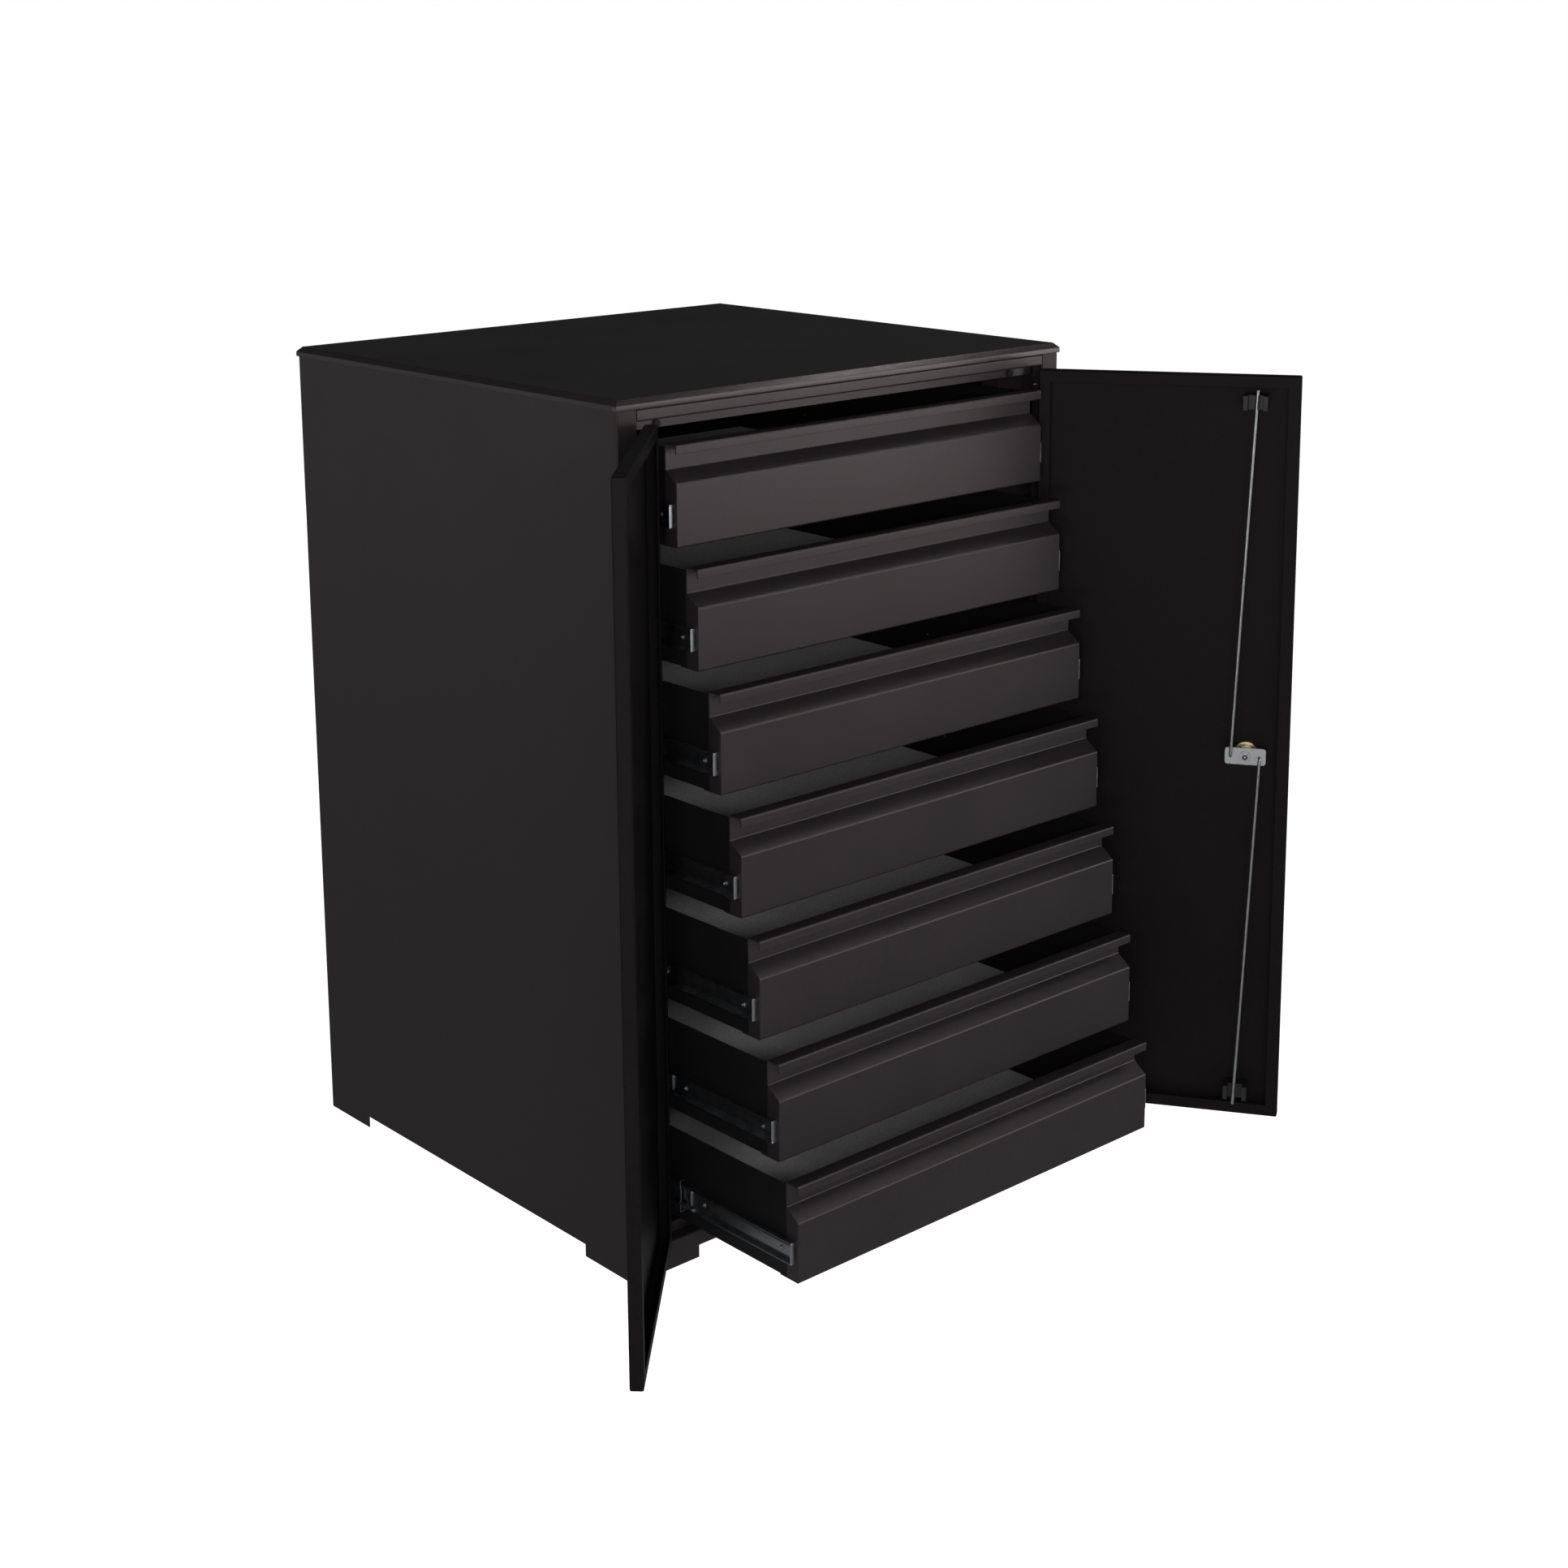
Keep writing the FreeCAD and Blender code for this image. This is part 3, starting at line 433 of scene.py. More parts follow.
def front_sheet(drawer):
    """One drawer front as a folded sheet with its two cheeks."""
    low, high = (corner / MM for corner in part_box(f"drawer_{drawer}_front"))
    half = FRONT_SHEET / 2
    fold = high.z - FOLD_UNDER_TOP
    slope = GRIP_RISE / GRIP_DEPTH
    drop = half * math.hypot(1, slope)
    wall = low.y + GRIP_DEPTH + half
    face = low.y + half

    def on_slope(y):
        return fold + slope * (y - low.y) - drop

    outline = [
        (face, high.z - LIP_DROP),
        (face, high.z - half),
        (wall, high.z - half),
        (wall, on_slope(wall)),
        (face, on_slope(face)),
        (face, low.z + half),
        (low.y + HEM_DEPTH, low.z + half),
    ]
    mesh = fold_sheet(outline, (low.x, high.x), "X")
    for x in (low.x + CHEEK_SHEET / 2, high.x - CHEEK_SHEET / 2):
        corners = [
            (face, low.z + FRONT_SHEET), (wall, low.z + FRONT_SHEET),
            (wall, on_slope(wall) - half), (face, on_slope(face) - half),
        ]
        mesh.faces.new([mesh.verts.new(Vector((x, y, z)) * MM) for y, z in corners])
    piece = make_piece(
        f"folded_front_{drawer}", mesh, f"drawer_{drawer}", LIT_FRONT_COAT,
        sheet=(FRONT_SHEET * MM, 0),
    )
    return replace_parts(piece, f"drawer_{drawer}_front")


fronts = [front_sheet(drawer) for drawer in DRAWERS]
print("drawer fronts:", [piece.name for piece in fronts])

# %% [markdown]
# ## Side panels
#
# A side is one sheet that wraps the front corner as a post and ends in a flange at the back.
# Its lower edge is notched, so that the cabinet stands on feet. Extra stations on the strip
# put edges where the notch begins and ends, and the faces between them are taken out before
# the sheet gets its thickness.

# %% Side panels
SHELL_SHEET = 1.5
POST_WIDTH = 28
POST_RETURN = 16
REAR_FLANGE = 20
FOOT_LENGTH = 90
FOOT_HEIGHT = 15
NOTCH_REACH = 5


def side_sheet(side):
    """One side panel, folded round its post and its rear flange."""
    low, high = (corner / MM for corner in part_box(f"side_panel_{side}"))
    half = SHELL_SHEET / 2
    out, inward = (low.x, 1) if side == "left" else (high.x, -1)
    skin = out + inward * half
    outline = [
        (out + inward * (POST_WIDTH - half), low.y + POST_RETURN),
        (out + inward * (POST_WIDTH - half), low.y + half),
        (skin, low.y + half),
        (skin, low.y + FOOT_LENGTH),
        (skin, high.y - FOOT_LENGTH),
        (skin, high.y - half),
        (out + inward * REAR_FLANGE, high.y - half),
    ]
    notch = (
        (out - NOTCH_REACH, low.y + FOOT_LENGTH, low.z),
        (out + NOTCH_REACH, high.y - FOOT_LENGTH, FOOT_HEIGHT),
    )
    mesh = fold_sheet(outline, (low.z, FOOT_HEIGHT, high.z), "Z", gaps=(notch,))
    piece = make_piece(
        f"folded_side_{side}", mesh, "cabinet", SHELL_COAT,
        sheet=(SHELL_SHEET * MM, 0),
    )
    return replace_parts(piece, f"side_panel_{side}")


sides = [side_sheet(side) for side in SIDES]
print("side panels:", [piece.name for piece in sides])

# %% [markdown]
# ## Rail and sill
#
# The rail over the doors and the sill under them are folded in the same way. Each carries an
# upright strip that the doors close against. The sill is notched between the front feet.

# %% Rail and sill
STOP_SETBACK = 18
STOP_HEIGHT = 12
PLINTH_HEIGHT = 34
RAIL_SHELF = 30
RAIL_FOLD = 1.6
FRONT_FOOT = 97


def rail_sheet():
    """The rail over the doors, with the shelf that the lid rests on."""
    low, high = (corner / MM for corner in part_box("top_rail"))
    half = SHELL_SHEET / 2
    outline = [
        (low.y + STOP_SETBACK + half, low.z),
        (low.y + STOP_SETBACK + half, low.z + STOP_HEIGHT + half),
        (low.y + half, low.z + STOP_HEIGHT + half),
        (low.y + half, high.z - half),
        (low.y + RAIL_SHELF, high.z - half),
    ]
    mesh = fold_sheet(outline, (low.x, high.x), "X", radius=RAIL_FOLD)
    piece = make_piece(
        "folded_rail", mesh, "cabinet", LIT_FRONT_COAT,
        sheet=(SHELL_SHEET * MM, 0),
    )
    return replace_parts(piece, "top_rail")


def sill_sheet():
    """The sill under the doors, on its two feet."""
    low, high = (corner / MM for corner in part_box("front_plinth"))
    half = SHELL_SHEET / 2
    outline = [
        (low.y + half, low.z),
        (low.y + half, FOOT_HEIGHT),
        (low.y + half, PLINTH_HEIGHT - half),
        (low.y + STOP_SETBACK + half, PLINTH_HEIGHT - half),
        (low.y + STOP_SETBACK + half, PLINTH_HEIGHT + STOP_HEIGHT),
    ]
    inner = high.x - FRONT_FOOT + POST_WIDTH
    notch = (
        (-inner, low.y - NOTCH_REACH, low.z - NOTCH_REACH),
        (inner, low.y + NOTCH_REACH, FOOT_HEIGHT),
    )
    stations = (low.x, -inner, inner, high.x)
    mesh = fold_sheet(outline, stations, "X", radius=RAIL_FOLD, gaps=(notch,))
    piece = make_piece(
        "folded_sill", mesh, "cabinet", SHELL_COAT,
        sheet=(SHELL_SHEET * MM, 0),
    )
    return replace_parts(piece, "front_plinth")


rail, sill = rail_sheet(), sill_sheet()
print("rail and sill:", rail.name, sill.name)

# %% [markdown]
# ## Doors
#
# A door is a shallow pan: a face, four flanges and a lip turned in all round the back. It is
# made closed, where its edges are square to the axes: a cube takes the pan's size, a bevel
# rounds all its folds, the back is inset and its middle taken out, and Solidify gives the
# skin. Then the whole mesh is turned about the hinge to where the door stands open.

# %% Doors
DOOR_SHEET = 1.0
DOOR_LIP = 20
DOOR_FOLD = 2.0
DOOR_ROUNDING = 0.25
JOINTS = {joint["name"]: joint for joint in frame["joints"]}
SQUARE_OPEN = 90


def door_turn(side):
    """The matrix that carries a closed door to where it stands at rest."""
    joint = JOINTS[f"door_{side}_hinge"]
    opened = math.radians(SQUARE_OPEN - joint["range_deg"][0])
    pivot = Matrix.Translation(Vector(joint["pos_m"]))
    turn = Matrix.Rotation(-opened if side == "left" else opened, 4, "Z")
    return pivot @ turn @ pivot.inverted()


def closed_box(node, turn):
    """The lowest and highest corners of a door's part, with the door shut."""
    back = turn.inverted()
    points = [back @ vert.co for vert in frame["nodes"][node].data.vertices]
    lowest = Vector([min(point[axis] for point in points) for axis in range(3)])
    highest = Vector([max(point[axis] for point in points) for axis in range(3)])
    return lowest, highest


def door_pan(side):
    """One door as a folded pan, turned to its open place."""
    turn = door_turn(side)
    low, high = closed_box(f"door_{side}", turn)
    mesh = bmesh.new()
    shape = Matrix.Translation((low + high) / 2) @ Matrix.Diagonal((*(high - low), 1))
    bmesh.ops.create_cube(mesh, size=1, matrix=shape)
    bmesh.ops.bevel(
        mesh, geom=mesh.edges[:], offset=DOOR_FOLD * MM, segments=3, profile=0.5,
        affect="EDGES", material=-1,
    )
    back = max(mesh.faces, key=lambda face: face.calc_center_median().y + face.calc_area())
    bmesh.ops.inset_region(mesh, faces=[back], thickness=(DOOR_LIP - DOOR_FOLD) * MM)
    bmesh.ops.delete(mesh, geom=[back], context="FACES")
    bmesh.ops.transform(mesh, matrix=turn, verts=mesh.verts)
    # The pan wears the doors' darker coat, which is painted shade.
    piece = make_piece(
        f"door_pan_{side}", mesh, f"door_{side}", SHADED_DOOR_COAT,
        sheet=(DOOR_SHEET * MM, -1), rounding=DOOR_ROUNDING,
    )
    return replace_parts(piece, f"door_{side}")


doors = [door_pan(side) for side in SIDES]
print("doors:", [piece.name for piece in doors])

# %% [markdown]
# ## Liners
#
# Each drawer is lined with a grey ribbed mat, so that tools don't slide. The ribs are real
# shape here: a grid one cell wide and hundreds of cells long has every other row lifted, and
# the sheet is closed below by extruding its rim down.

# %% Liners
RIB_PITCH = 2.5
RIB_HEIGHT = 0.6


def ribbed_liner(drawer):
    """A mat with ribs across the drawer."""
    low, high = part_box(f"drawer_{drawer}_mat")
    rows = 2 * round((high.y - low.y) / (RIB_PITCH * MM))
    middle = (low + high) / 2
    mesh = bmesh.new()
    spread = Matrix.Translation((middle.x, middle.y, high.z - RIB_HEIGHT * MM))
    spread = spread @ Matrix.Diagonal(((high.x - low.x) / 2, (high.y - low.y) / 2, 1, 1))
    bmesh.ops.create_grid(mesh, x_segments=1, y_segments=rows, size=1, matrix=spread)
    step = (high.y - low.y) / rows
    crests = [vert for vert in mesh.verts if round((vert.co.y - low.y) / step) % 2]
    bmesh.ops.translate(mesh, verts=crests, vec=(0, 0, RIB_HEIGHT * MM))
    rim = [edge for edge in mesh.edges if edge.is_boundary]
    made = bmesh.ops.extrude_edge_only(mesh, edges=rim)
    under = new_verts(made)
    for vert in under:
        vert.co.z = low.z
    bmesh.ops.contextual_create(mesh, geom=[e for e in mesh.edges if e.is_boundary])
    piece = make_piece(
        f"ribbed_liner_{drawer}", mesh, f"drawer_{drawer}", LINER, rounding=None,
    )
    for face in piece.data.polygons:
        face.use_smooth = False
    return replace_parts(piece, f"drawer_{drawer}_mat")


liners = [ribbed_liner(drawer) for drawer in DRAWERS]
print("liners:", len(liners), "with", len(liners[0].data.polygons), "faces each")

# %% [markdown]
# ## Finishes on the parts that keep their shape
#
# The trays, the lid, the base, the back, the uprights and the small hardware already have
# their shape. They get their finish, and their edges are rounded by modifiers: the imported
# meshes are loose triangles, so a Weld joins them before the Bevel looks for edges. The table
# gives each part its finish and the rounding of its edges in mm.

# %% Finishes
WELD_GAP = 0.01
FINISHES = {
    "hinge_pins": (ZINC, 0.3),
    "door_bumpers": (RUBBER, 0.5),
    "lock_barrel": (ZINC, 0.5),
    "lock_ring": (BRASS, 0.5),
    "rod_guides": (NYLON, 0.6),
    "turn_handle": (NYLON, 1.5),
    "top_cover": (LID_COAT, 0.6),
    "base_pan": (SHELL_COAT, 0.5),
    "back_panel": (SHELL_COAT, 0.5),
    "rear_plinth": (SHELL_COAT, 0.5),
    # The uprights take the fronts' lighter coat, which is painted light.
    "uprights": (LIT_FRONT_COAT, 0.4),
    "hinge_leaves_frame": (SHELL_COAT, 0.3),
    # The doors' hinge leaves take the doors' darker coat, which is painted shade.
    "hinge_leaves_left": (SHADED_DOOR_COAT, 0.3),
    "hinge_leaves_right": (SHADED_DOOR_COAT, 0.3),
}
for drawer in DRAWERS:
    # The trays take the darker coat, which is painted shade inside the drawers.
    FINISHES[f"drawer_{drawer}_box"] = (SHADED_TRAY_COAT, 0.4)

for name, (material, rounding) in FINISHES.items():
    part = frame["nodes"][name]
    part.data.materials.clear()
    part.data.materials.append(material)
    weld = part.modifiers.new("joined", "WELD")
    weld.merge_threshold = WELD_GAP * MM
    round_edges(part, rounding)
print("finished parts:", len(FINISHES))

# %% [markdown]
# ## Ball runners
#
# A full-extension runner has three rolled members: an inner one on the drawer, an outer one in
# the cabinet and a middle one between them. Each is a channel whose web is pressed out along
# its middle for stiffness, and whose flanges are the tracks of the balls. They are folded
# strips again, this time run along the depth. The drawer's member ends in a flap in front and
# carries a pressed stop, and the middle one is cut back in front, so that the flap fits in it.
# A section below is the upper half of a member: how far each fold stands out from the tray's
# wall and how high it is over the runner's middle, both in mm.

# %% Runner members
RUNNER_SHEET = 1.2
RUNNER_FOLD = 0.9
RUNNER_ROUNDING = 0.3
FLAP_OUT, FLAP_HALF, FLAP_INSET = (0.6, 7.0), 11.6, 0.6
STOP_OUT, STOP_HALF, STOP_BEHIND = (1.0, 4.0), 9, 172
MIDDLE_CUT, CUT_OUT, PRESSED_HALF = 3, 8.0, 9.5
INNER_SECTION = [(6.8, 12.15), (0.6, 12.15), (0.6, 8.8), (1.6, 6.4)]
MIDDLE_SECTION = [(2.1, 16.8), (2.1, 18.65), (8.3, 18.65), (8.3, 9.5), (5.2, 7.5)]
OUTER_SECTION = [(3.3, 20.6), (3.3, 22.25), (12.1, 22.25), (12.1, 10.8), (10.8, 8.0)]


def gather(meshes):
    """Put several bmeshes into the first one."""
    whole = meshes[0]
    for mesh in meshes[1:]:
        data = bpy.data.meshes.new("gathered")
        mesh.to_mesh(data)
        mesh.free()
        whole.from_mesh(data)
        bpy.data.meshes.remove(data)
    return whole


def member(section, side, node, height, gap=None):
    """One runner member from the upper half of its section, on one side of a drawer."""
    low, high = (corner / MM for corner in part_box(node))
    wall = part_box("drawer_1_box")[0 if side == "left" else 1].x / MM
    outward = -1 if side == "left" else 1
    half = [(wall + outward * x, height + z) for x, z in section]
    outline = half + [(x, 2 * height - z) for x, z in reversed(half)]
    stations, gaps = (low.y, high.y), ()
    if gap:
        stations = (low.y, low.y + gap, high.y)
        near, far = sorted((wall, wall + outward * CUT_OUT))
        gaps = [(
            (near, low.y - gap, height - PRESSED_HALF),
            (far, low.y + gap, height + PRESSED_HALF),
        )]
    return fold_sheet(outline, stations, "Y", radius=RUNNER_FOLD, gaps=gaps)


def upright_plates(mesh, out, y, height, half):
    """Add a flat plate that faces forward on each member, between two distances from the wall."""
    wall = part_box("drawer_1_box")[1].x / MM
    for sign in (-1, 1):
        near, far = (sign * (wall + distance) for distance in out)
        corners = [(near, -half), (far, -half), (far, half), (near, half)]
        mesh.faces.new([mesh.verts.new(Vector((x, y, height + z)) * MM) for x, z in corners])


def runner_height(drawer):
    """The height of the middle of a drawer's runners, in mm."""
    low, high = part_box(f"drawer_{drawer}_runners")
    return (low.z + high.z) / 2 / MM


def inner_members(drawer):
    """The two members on a drawer, each with its front flap and its stop."""
    node = f"drawer_{drawer}_runners"
    low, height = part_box(node)[0] / MM, runner_height(drawer)
    mesh = gather([member(INNER_SECTION, side, node, height) for side in SIDES])
    upright_plates(mesh, FLAP_OUT, low.y + FLAP_INSET, height, FLAP_HALF)
    upright_plates(mesh, STOP_OUT, low.y + STOP_BEHIND, height, STOP_HALF)
    piece = make_piece(
        f"rolled_inner_members_{drawer}", mesh, f"drawer_{drawer}", ZINC,
        sheet=(RUNNER_SHEET * MM, 0), rounding=RUNNER_ROUNDING,
    )
    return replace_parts(piece, node)


def middle_members(drawer):
    """The two members that roll between drawer and cabinet."""
    node = f"middle_runners_{drawer}"
    height = runner_height(drawer)
    mesh = gather([
        member(MIDDLE_SECTION, side, node, height, gap=MIDDLE_CUT) for side in SIDES
    ])
    piece = make_piece(
        f"rolled_middle_members_{drawer}", mesh, f"middle_{drawer}", ZINC,
        sheet=(RUNNER_SHEET * MM, 0), rounding=RUNNER_ROUNDING,
    )
    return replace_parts(piece, node)


def outer_members():
    """The members on the uprights, all in one piece."""
    mesh = gather([
        member(OUTER_SECTION, side, "cabinet_runners", runner_height(drawer))
        for drawer in DRAWERS for side in SIDES
    ])
    piece = make_piece(
        "rolled_outer_members", mesh, "cabinet", ZINC,
        sheet=(RUNNER_SHEET * MM, 0), rounding=RUNNER_ROUNDING,
    )
    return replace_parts(piece, "cabinet_runners")


runners = [inner_members(drawer) for drawer in DRAWERS]
runners += [middle_members(drawer) for drawer in DRAWERS] + [outer_members()]
print("runner pieces:", len(runners))

# %% [markdown]
# ## Balls and cages
#
# Steel balls roll between the inner and the middle member, spaced by a thin strip with a
# pocket for each. They show at the front end of the middle member and ride with it, though a
# real cage moves at half its speed. A ball is repeated some hundreds of times, so it gets only
# a few dozen faces and smooth shading.

# %% Balls and cages
BALL_RADIUS = 2.2
BALL_SPACING = 7.0
BALLS = 12
BALL_OUT = 4.9
BALL_UP = 15.4
CAGE_WIDTH, CAGE_SHEET = 4.4, 0.5


def ball_cages(drawer):
    """The balls over and under a drawer's inner members, with the strips that space them."""
    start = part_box(f"middle_runners_{drawer}")[0].y / MM + MIDDLE_CUT
    wall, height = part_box("drawer_1_box")[1].x / MM, runner_height(drawer)
    mesh = bmesh.new()
    length = BALLS * BALL_SPACING
    for sign in (-1, 1):
        for up in (-BALL_UP, BALL_UP):
            x, z = sign * (wall + BALL_OUT), height + up
            size = Matrix.Diagonal((CAGE_WIDTH * MM, length * MM, CAGE_SHEET * MM, 1))
            place = Matrix.Translation(Vector((x, start + length / 2, z)) * MM)
            bmesh.ops.create_cube(mesh, size=1, matrix=place @ size)
            for ball in range(BALLS):
                centre = Vector((x, start + (ball + 0.5) * BALL_SPACING, z)) * MM
                bmesh.ops.create_uvsphere(
                    mesh, u_segments=8, v_segments=6, radius=BALL_RADIUS * MM,
                    matrix=Matrix.Translation(centre),
                )
    return make_piece(
        f"balls_and_cages_{drawer}", mesh, f"middle_{drawer}", ZINC, rounding=None,
    )


cages = [ball_cages(drawer) for drawer in DRAWERS]
print("ball cages:", len(cages))

# %% [markdown]
# ## Screws
#
# Small button-head screws hold the runners to the trays, and two more stand in each front
# post. One screw head is a short cone with a sunk socket, and the same function sets one
# wherever it is needed, facing any way. The tips of some screws show inside the trays.

# %% Screw heads
SCREW_SIDES = 12
HEAD_TAPER = 0.72
SOCKET_SHARE = 0.32
SOCKET_DEPTH = 0.6
HEAD_ROUNDING = 0.12


def screw_head(mesh, place, facing, radius, height):
    """Add one button head with a socket to a bmesh. The head stands out along facing."""
    turn = Vector(facing).to_track_quat("Z", "Y").to_matrix().to_4x4()
    seat = Matrix.Translation(Vector(place) * MM) @ turn
    lift = Matrix.Translation((0, 0, height * MM / 2))
    made = bmesh.ops.create_cone(
        mesh, cap_ends=True, segments=SCREW_SIDES, radius1=radius * MM,
        radius2=radius * HEAD_TAPER * MM, depth=height * MM, matrix=seat @ lift,
    )
    outward = turn @ Vector((0, 0, 1))
    faces = [face for vert in made["verts"] for face in vert.link_faces]
    top = max(faces, key=lambda face: face.calc_center_median().dot(outward))
    bmesh.ops.inset_region(mesh, faces=[top], thickness=radius * SOCKET_SHARE * MM)
    sunk = bmesh.ops.extrude_discrete_faces(mesh, faces=[top])["faces"]
    bmesh.ops.translate(mesh, verts=sunk[0].verts, vec=-outward * height * SOCKET_DEPTH * MM)


def screws(name, places, size, body):
    """Equal screws in one piece, from pairs of place in mm and facing, and radius and height."""
    mesh = bmesh.new()
    for place, facing in places:
        screw_head(mesh, place, facing, *size)
    return make_piece(name, mesh, body, ZINC, rounding=HEAD_ROUNDING)


print("a screw head has", SCREW_SIDES, "sides")

# %% Screws in the runners and the posts
RUNNER_SCREWS, RUNNER_HEAD, RUNNER_HEAD_OUT = (19, 150, 298, 470), (3.0, 1.7), 2.2
WALL_RIVETS, RIVET_HEAD, TRAY_SHEET = (253, 420), (2.0, 1.0), 1.2
POST_SCREW_HEIGHTS, POST_HEAD, POST_SCREW_BEHIND = (60, 962), (3.2, 1.8), 10


def runner_screws(drawer):
    """Screws through the inner members, and their tips on the inside of the tray's walls."""
    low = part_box(f"drawer_{drawer}_runners")[0] / MM
    wall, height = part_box("drawer_1_box")[1].x / MM, runner_height(drawer)
    heads = [
        ((sign * (wall + RUNNER_HEAD_OUT), low.y + behind, height), (sign, 0, 0))
        for sign in (-1, 1) for behind in RUNNER_SCREWS
    ]
    tips = [
        ((sign * (wall - TRAY_SHEET), low.y + behind, height), (-sign, 0, 0))
        for sign in (-1, 1) for behind in WALL_RIVETS
    ]
    held = screws(f"runner_screws_{drawer}", heads, RUNNER_HEAD, f"drawer_{drawer}")
    seen = screws(f"wall_rivets_{drawer}", tips, RIVET_HEAD, f"drawer_{drawer}")
    return held, seen


runner_fixings = [runner_screws(drawer) for drawer in DRAWERS]
post_front, inner_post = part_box("front_plinth")[0].y / MM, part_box("front_plinth")[1].x / MM
post_screws = screws(
    "post_screws",
    [
        ((sign * inner_post, post_front + POST_SCREW_BEHIND, z), (-sign, 0, 0))
        for sign in (-1, 1) for z in POST_SCREW_HEIGHTS
    ],
    POST_HEAD, "cabinet",
)
print("screw sets:", 2 * len(runner_fixings), "on the drawers, and", post_screws.name)

# %% [markdown]
# ## The plate that works the rods
#
# Inside the right door the lock turns a small plate, and the plate pulls both rods. It is
# stamped from thick sheet with round corners, and a washer and a domed nut hold it. All of it
# is made with the door shut and square, and then turned with the door.

# %% Plate, washer and nut
PLATE_CORNER = 4.0
WASHER_RADIUS, WASHER_SHEET, WASHER_SIDES = 6.6, 1.2, 24
NUT_RADIUS, NUT_HEIGHT, NUT_SIDES = 4.4, 3.2, 6
DOME_RADIUS, DOME_FLATTENED = 3.2, 0.6


def turned_with_door(mesh):
    """Turn a mesh made with the right door shut to where that door stands at rest."""
    bmesh.ops.transform(mesh, matrix=door_turn("right"), verts=mesh.verts)


def stamped_plate():
    """The plate with its round corners."""
    low, high = closed_box("cam_plate", door_turn("right"))
    high.y = closed_box("cam_nut", door_turn("right"))[0].y
    mesh = bmesh.new()
    shape = Matrix.Translation((low + high) / 2) @ Matrix.Diagonal((*(high - low), 1))
    bmesh.ops.create_cube(mesh, size=1, matrix=shape)
    corners = [
        edge for edge in mesh.edges
        if abs((edge.verts[0].co - edge.verts[1].co).normalized().y) > 0.9
    ]
    bmesh.ops.bevel(
        mesh, geom=corners, offset=PLATE_CORNER * MM, segments=6, profile=0.5,
        affect="EDGES", material=-1,
    )
    turned_with_door(mesh)
    piece = make_piece("stamped_cam_plate", mesh, "lock", PLATE_ZINC, rounding=0.5)
    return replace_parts(piece, "cam_plate")


def washer_and_nut():
    """The washer on the plate, and the domed nut on the washer."""
    low, high = closed_box("cam_nut", door_turn("right"))
    centre = (low + high) / 2
    mesh = bmesh.new()
    facing = Matrix.Rotation(math.radians(-90), 4, "X")
    stack = (
        (low.y, WASHER_RADIUS, WASHER_SHEET, WASHER_SIDES),
        (low.y + WASHER_SHEET * MM, NUT_RADIUS, NUT_HEIGHT, NUT_SIDES),
    )
    for start, radius, depth, sides in stack:
        place = Matrix.Translation((centre.x, start + depth * MM / 2, centre.z)) @ facing
        bmesh.ops.create_cone(
            mesh, cap_ends=True, segments=sides, radius1=radius * MM, radius2=radius * MM,
            depth=depth * MM, matrix=place,
        )
    top = Matrix.Translation((centre.x, low.y + (WASHER_SHEET + NUT_HEIGHT) * MM, centre.z))
    bmesh.ops.create_uvsphere(
        mesh, u_segments=16, v_segments=8, radius=DOME_RADIUS * MM,
        matrix=top @ Matrix.Diagonal((1, DOME_FLATTENED, 1, 1)),
    )
    turned_with_door(mesh)
    piece = make_piece("washer_and_domed_nut", mesh, "lock", ROD_ZINC, rounding=0.3)
    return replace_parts(piece, "cam_nut")


plate, nut = stamped_plate(), washer_and_nut()
print("lock pieces:", plate.name, nut.name)

# %% [markdown]
# ## Rods
#
# Each rod is a length of drawn wire whose end is bent square, to drop into a hole in the
# plate. A circle is extruded out of the plate, spun through a quarter turn and extruded again
# along the door, which keeps the wire equally thick all the way round the bend.

# %% Bent rods
ROD_RADIUS, ROD_SIDES = 2.0, 16
ROD_BEND, ROD_BEND_STEPS = 4.0, 6
ROD_IN_PLATE = 1.0


def run_ring(mesh, ring, step):
    """Extrude a ring of edges by a step, and return the new ring."""
    fresh = new_verts(bmesh.ops.extrude_edge_only(mesh, edges=ring))
    moved = set(fresh)
    bmesh.ops.translate(mesh, verts=fresh, vec=step)
    return [edge for edge in mesh.edges if set(edge.verts) <= moved]


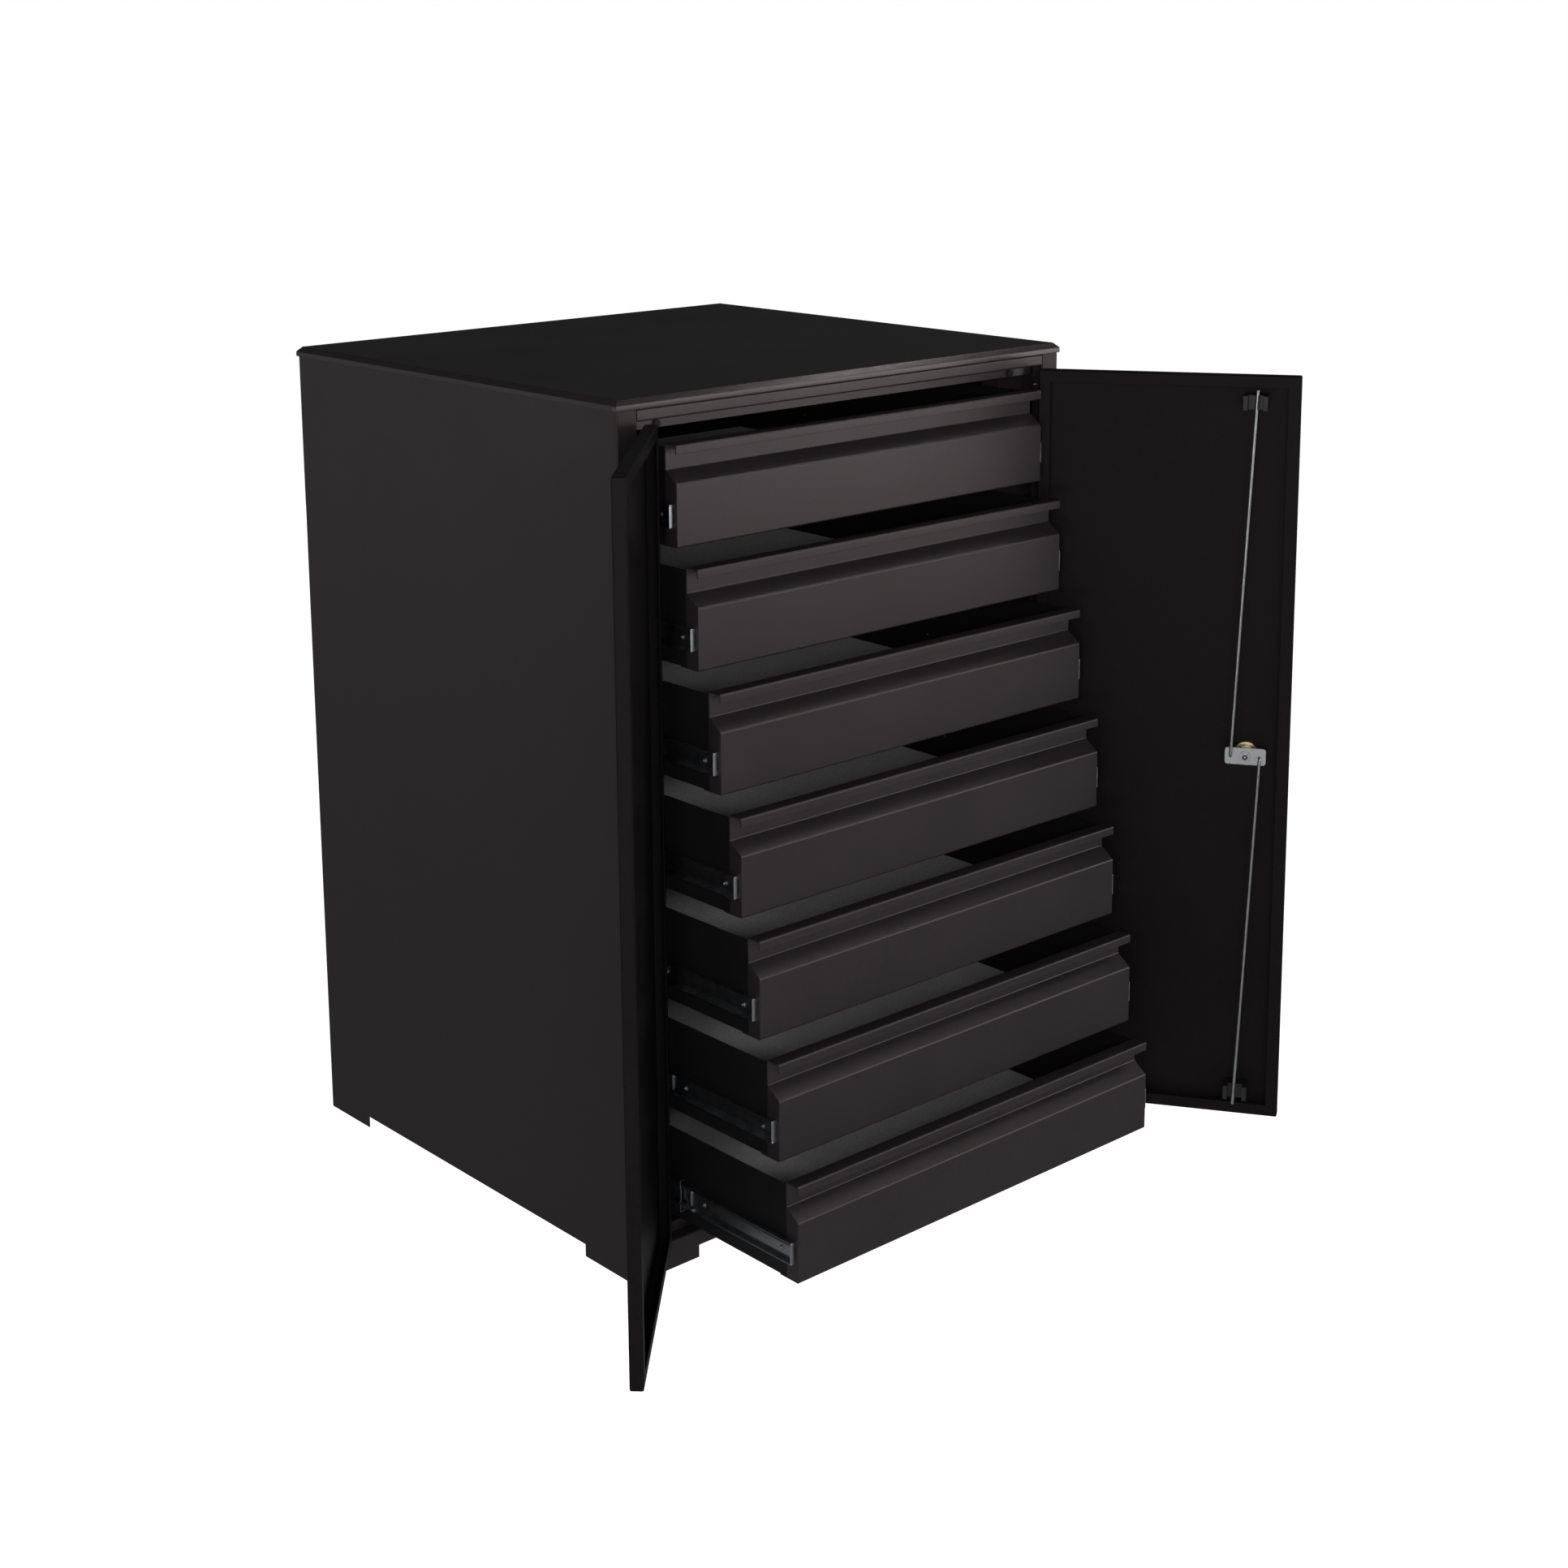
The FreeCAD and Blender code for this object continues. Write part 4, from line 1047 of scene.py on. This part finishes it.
def bent_rod(which):
    """One rod, bent into the plate at its near end and leaning to its guide."""
    node, up = f"{which}_rod", 1 if which == "upper" else -1
    back = door_turn("right").inverted()
    pin = back @ Vector(JOINTS[f"{node}_pivot"]["pos_m"])
    low, high = closed_box(node, door_turn("right"))
    pin.y = (low.y + high.y) / 2
    inset = Vector((ROD_RADIUS * MM, 0, 0))
    tip = low + inset if up < 0 else high - inset
    tip.x = (low + inset).x if up > 0 else (high - inset).x
    reach = Vector((tip.x - pin.x, 0, tip.z - pin.z))
    bend = ROD_BEND * MM
    mesh = bmesh.new()
    plate_face = closed_box("cam_plate", door_turn("right"))[0].y - pin.y
    seat = Matrix.Translation((0, plate_face + ROD_IN_PLATE * MM, 0))
    ring = bmesh.ops.create_circle(
        mesh, segments=ROD_SIDES, radius=ROD_RADIUS * MM,
        matrix=seat @ Matrix.Rotation(math.radians(90), 4, "X"),
    )["verts"]
    start = ring[0].co.y
    edges = run_ring(mesh, list(mesh.edges), Vector((0, -bend - start, 0)))
    spun = bmesh.ops.spin(
        mesh, geom=edges, cent=(0, -bend, up * bend), axis=(up, 0, 0),
        angle=math.radians(90), steps=ROD_BEND_STEPS,
    )["geom_last"]
    edges = [part for part in spun if isinstance(part, bmesh.types.BMEdge)]
    run_ring(mesh, edges, Vector((0, 0, up * (reach.length - bend))))
    bmesh.ops.contextual_create(mesh, geom=[edge for edge in mesh.edges if edge.is_boundary])
    lean = Matrix.Rotation(math.atan2(up * reach.x, up * reach.z), 4, "Y")
    bmesh.ops.transform(mesh, matrix=Matrix.Translation(pin) @ lean, verts=mesh.verts)
    turned_with_door(mesh)
    piece = make_piece(f"bent_{which}_rod", mesh, node, ROD_ZINC, rounding=0.5)
    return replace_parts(piece, node)


rods = [bent_rod(which) for which in ("upper", "lower")]
print("rods:", [piece.name for piece in rods])

# %% [markdown]
# ## Light
#
# A black cabinet shows little of its own colour and mostly the soft reflection of what stands
# round it, so the lights are large and few. A softbox in front and to the right gives the
# drawer fronts their tone, and narrow strips draw the bright lines on lips, slopes and the
# lid. One fill stands as high as the camera, because only from there does light pass between
# two drawers to the liners. It shows in no shine.

# %% Softboxes
def softbox(name, place, aim, size, power, shines=True):
    """A rectangular area light that points at a place. Some only light, and show in no shine."""
    light = bpy.data.lights.new(name, "AREA")
    light.shape = "RECTANGLE"
    light.energy = power
    light.size, light.size_y = size
    lamp = bpy.data.objects.new(name, light)
    lamp.location = place
    lamp.rotation_euler = (Vector(aim) - Vector(place)).to_track_quat("-Z", "Y").to_euler()
    lamp.visible_camera = False
    lamp.visible_glossy = shines
    bpy.context.scene.collection.objects.link(lamp)
    return lamp


# Each has its name, its place, what it points at, its size in metres and its power in watts.
LIGHTS = (
    ("key_softbox", (2.6, -3.0, 1.0), (0.0, -0.3, 0.8), (2.4, 1.4), 29),
    ("edge_strip", (2.3, -2.7, 3.2), (0.0, -0.3, 0.7), (2.6, 0.2), 14),
    ("lid_strip", (1.9, -0.75, 3.0), (0.0, -0.3, 1.0), (1.9, 0.10), 5),
    ("side_softbox", (-3.2, 2.6, 0.7), (-0.3, 0.0, 0.5), (2.8, 2.0), 8),
    ("left_strip", (-3.4, -3.2, 1.8), (0.0, -0.3, 0.5), (0.2, 2.0), 30),
    ("low_card", (-3.0, -2.4, 0.15), (0.4, -0.6, 0.5), (1.4, 0.7), 10),
    ("back_softbox", (2.6, 3.4, 0.5), (0.0, 0.3, 0.4), (2.6, 0.9), 12),
)
lamps = [softbox(*light) for light in LIGHTS]
lamps.append(softbox(
    "eye_level_fill", (-1.75, -2.6, 1.4), (0.1, -0.5, 0.25), (1.6, 0.25), 60, shines=False,
))
print("lights:", [lamp.name for lamp in lamps])

# %% [markdown]
# ## Backdrop and floor
#
# The set is white to the eye, but a white room would wash out a black cabinet. So the world
# is white only where the camera sees it and a dim glow everywhere else, and the floor shows
# itself dimmed in reflections. Without that, the lower drawers would look lighter than the
# upper ones.

# %% Backdrop and floor
WORLD_GLOW = 0.06
FLOOR_SIZE = 60
# The floor lies half a millimetre low, so that the feet never share a plane with it.
FLOOR_DROP = 0.0005
FLOOR_GLOW = 0.95
FLOOR_IN_SHINE = 0.16

world = bpy.data.worlds.new("studio_glow")
bpy.context.scene.world = world
world.use_nodes = True
tree = world.node_tree
tree.nodes.clear()
seen = add_node(tree, "ShaderNodeBackground", {"Color": linear("#ffffff"), "Strength": 1.0})
glow = add_node(tree, "ShaderNodeBackground", {"Color": linear("#f4f6f8"), "Strength": WORLD_GLOW})
sky_rays = add_node(tree, "ShaderNodeLightPath")
sky = add_node(
    tree, "ShaderNodeMixShader",
    links={0: sky_rays.outputs["Is Camera Ray"], 1: glow.outputs[0], 2: seen.outputs[0]},
)
add_node(tree, "ShaderNodeOutputWorld", links={"Surface": sky.outputs[0]})

floor_mesh = bmesh.new()
bmesh.ops.create_grid(floor_mesh, x_segments=1, y_segments=1, size=FLOOR_SIZE / 2)
floor_data = bpy.data.meshes.new("studio_floor")
floor_mesh.to_mesh(floor_data)
floor_mesh.free()
floor = bpy.data.objects.new("studio_floor", floor_data)
floor.location.z = -FLOOR_DROP
bpy.context.scene.collection.objects.link(floor)
pale, tree = start_material("pale_floor")[:2]
sheen = add_node(tree, "ShaderNodeEmission", {"Strength": FLOOR_IN_SHINE})
paper = add_node(
    tree, "ShaderNodeBsdfPrincipled",
    {
        "Base Color": linear("#f6f6f6"), "Roughness": 0.9, "Specular IOR Level": 0.0,
        "Emission Color": linear("#ffffff"), "Emission Strength": FLOOR_GLOW,
    },
)
floor_rays = add_node(tree, "ShaderNodeLightPath")
dimmed = add_node(
    tree, "ShaderNodeMixShader",
    links={0: floor_rays.outputs["Is Glossy Ray"], 1: paper.outputs[0], 2: sheen.outputs[0]},
)
add_node(tree, "ShaderNodeOutputMaterial", links={"Surface": dimmed.outputs[0]})
floor_data.materials.append(pale)
print("floor:", FLOOR_SIZE, "m square")

# %% [markdown]
# ## Camera
#
# The camera stands to the left, a little higher than the cabinet, and looks down on it. A
# long lens from some distance keeps the perspective gentle, and the lens shift sets the
# cabinet in the frame.

# %% Camera
CAMERA_PLACE = (-1.9253, -2.3529, 1.3959)
CAMERA_TURN = (78.72, 0.52, -41.20)
SENSOR = 36
LENS = 56.58
SHIFT = (0.0186, -0.1687)

camera_data = bpy.data.cameras.new("studio_camera")
camera_data.sensor_width = SENSOR
camera_data.lens = LENS
camera_data.shift_x, camera_data.shift_y = SHIFT
camera = bpy.data.objects.new("studio_camera", camera_data)
camera.location = CAMERA_PLACE
camera.rotation_euler = [math.radians(angle) for angle in CAMERA_TURN]
bpy.context.scene.collection.objects.link(camera)
bpy.context.scene.camera = camera
bpy.context.scene.view_settings.view_transform = "Standard"
print("camera at", CAMERA_PLACE)
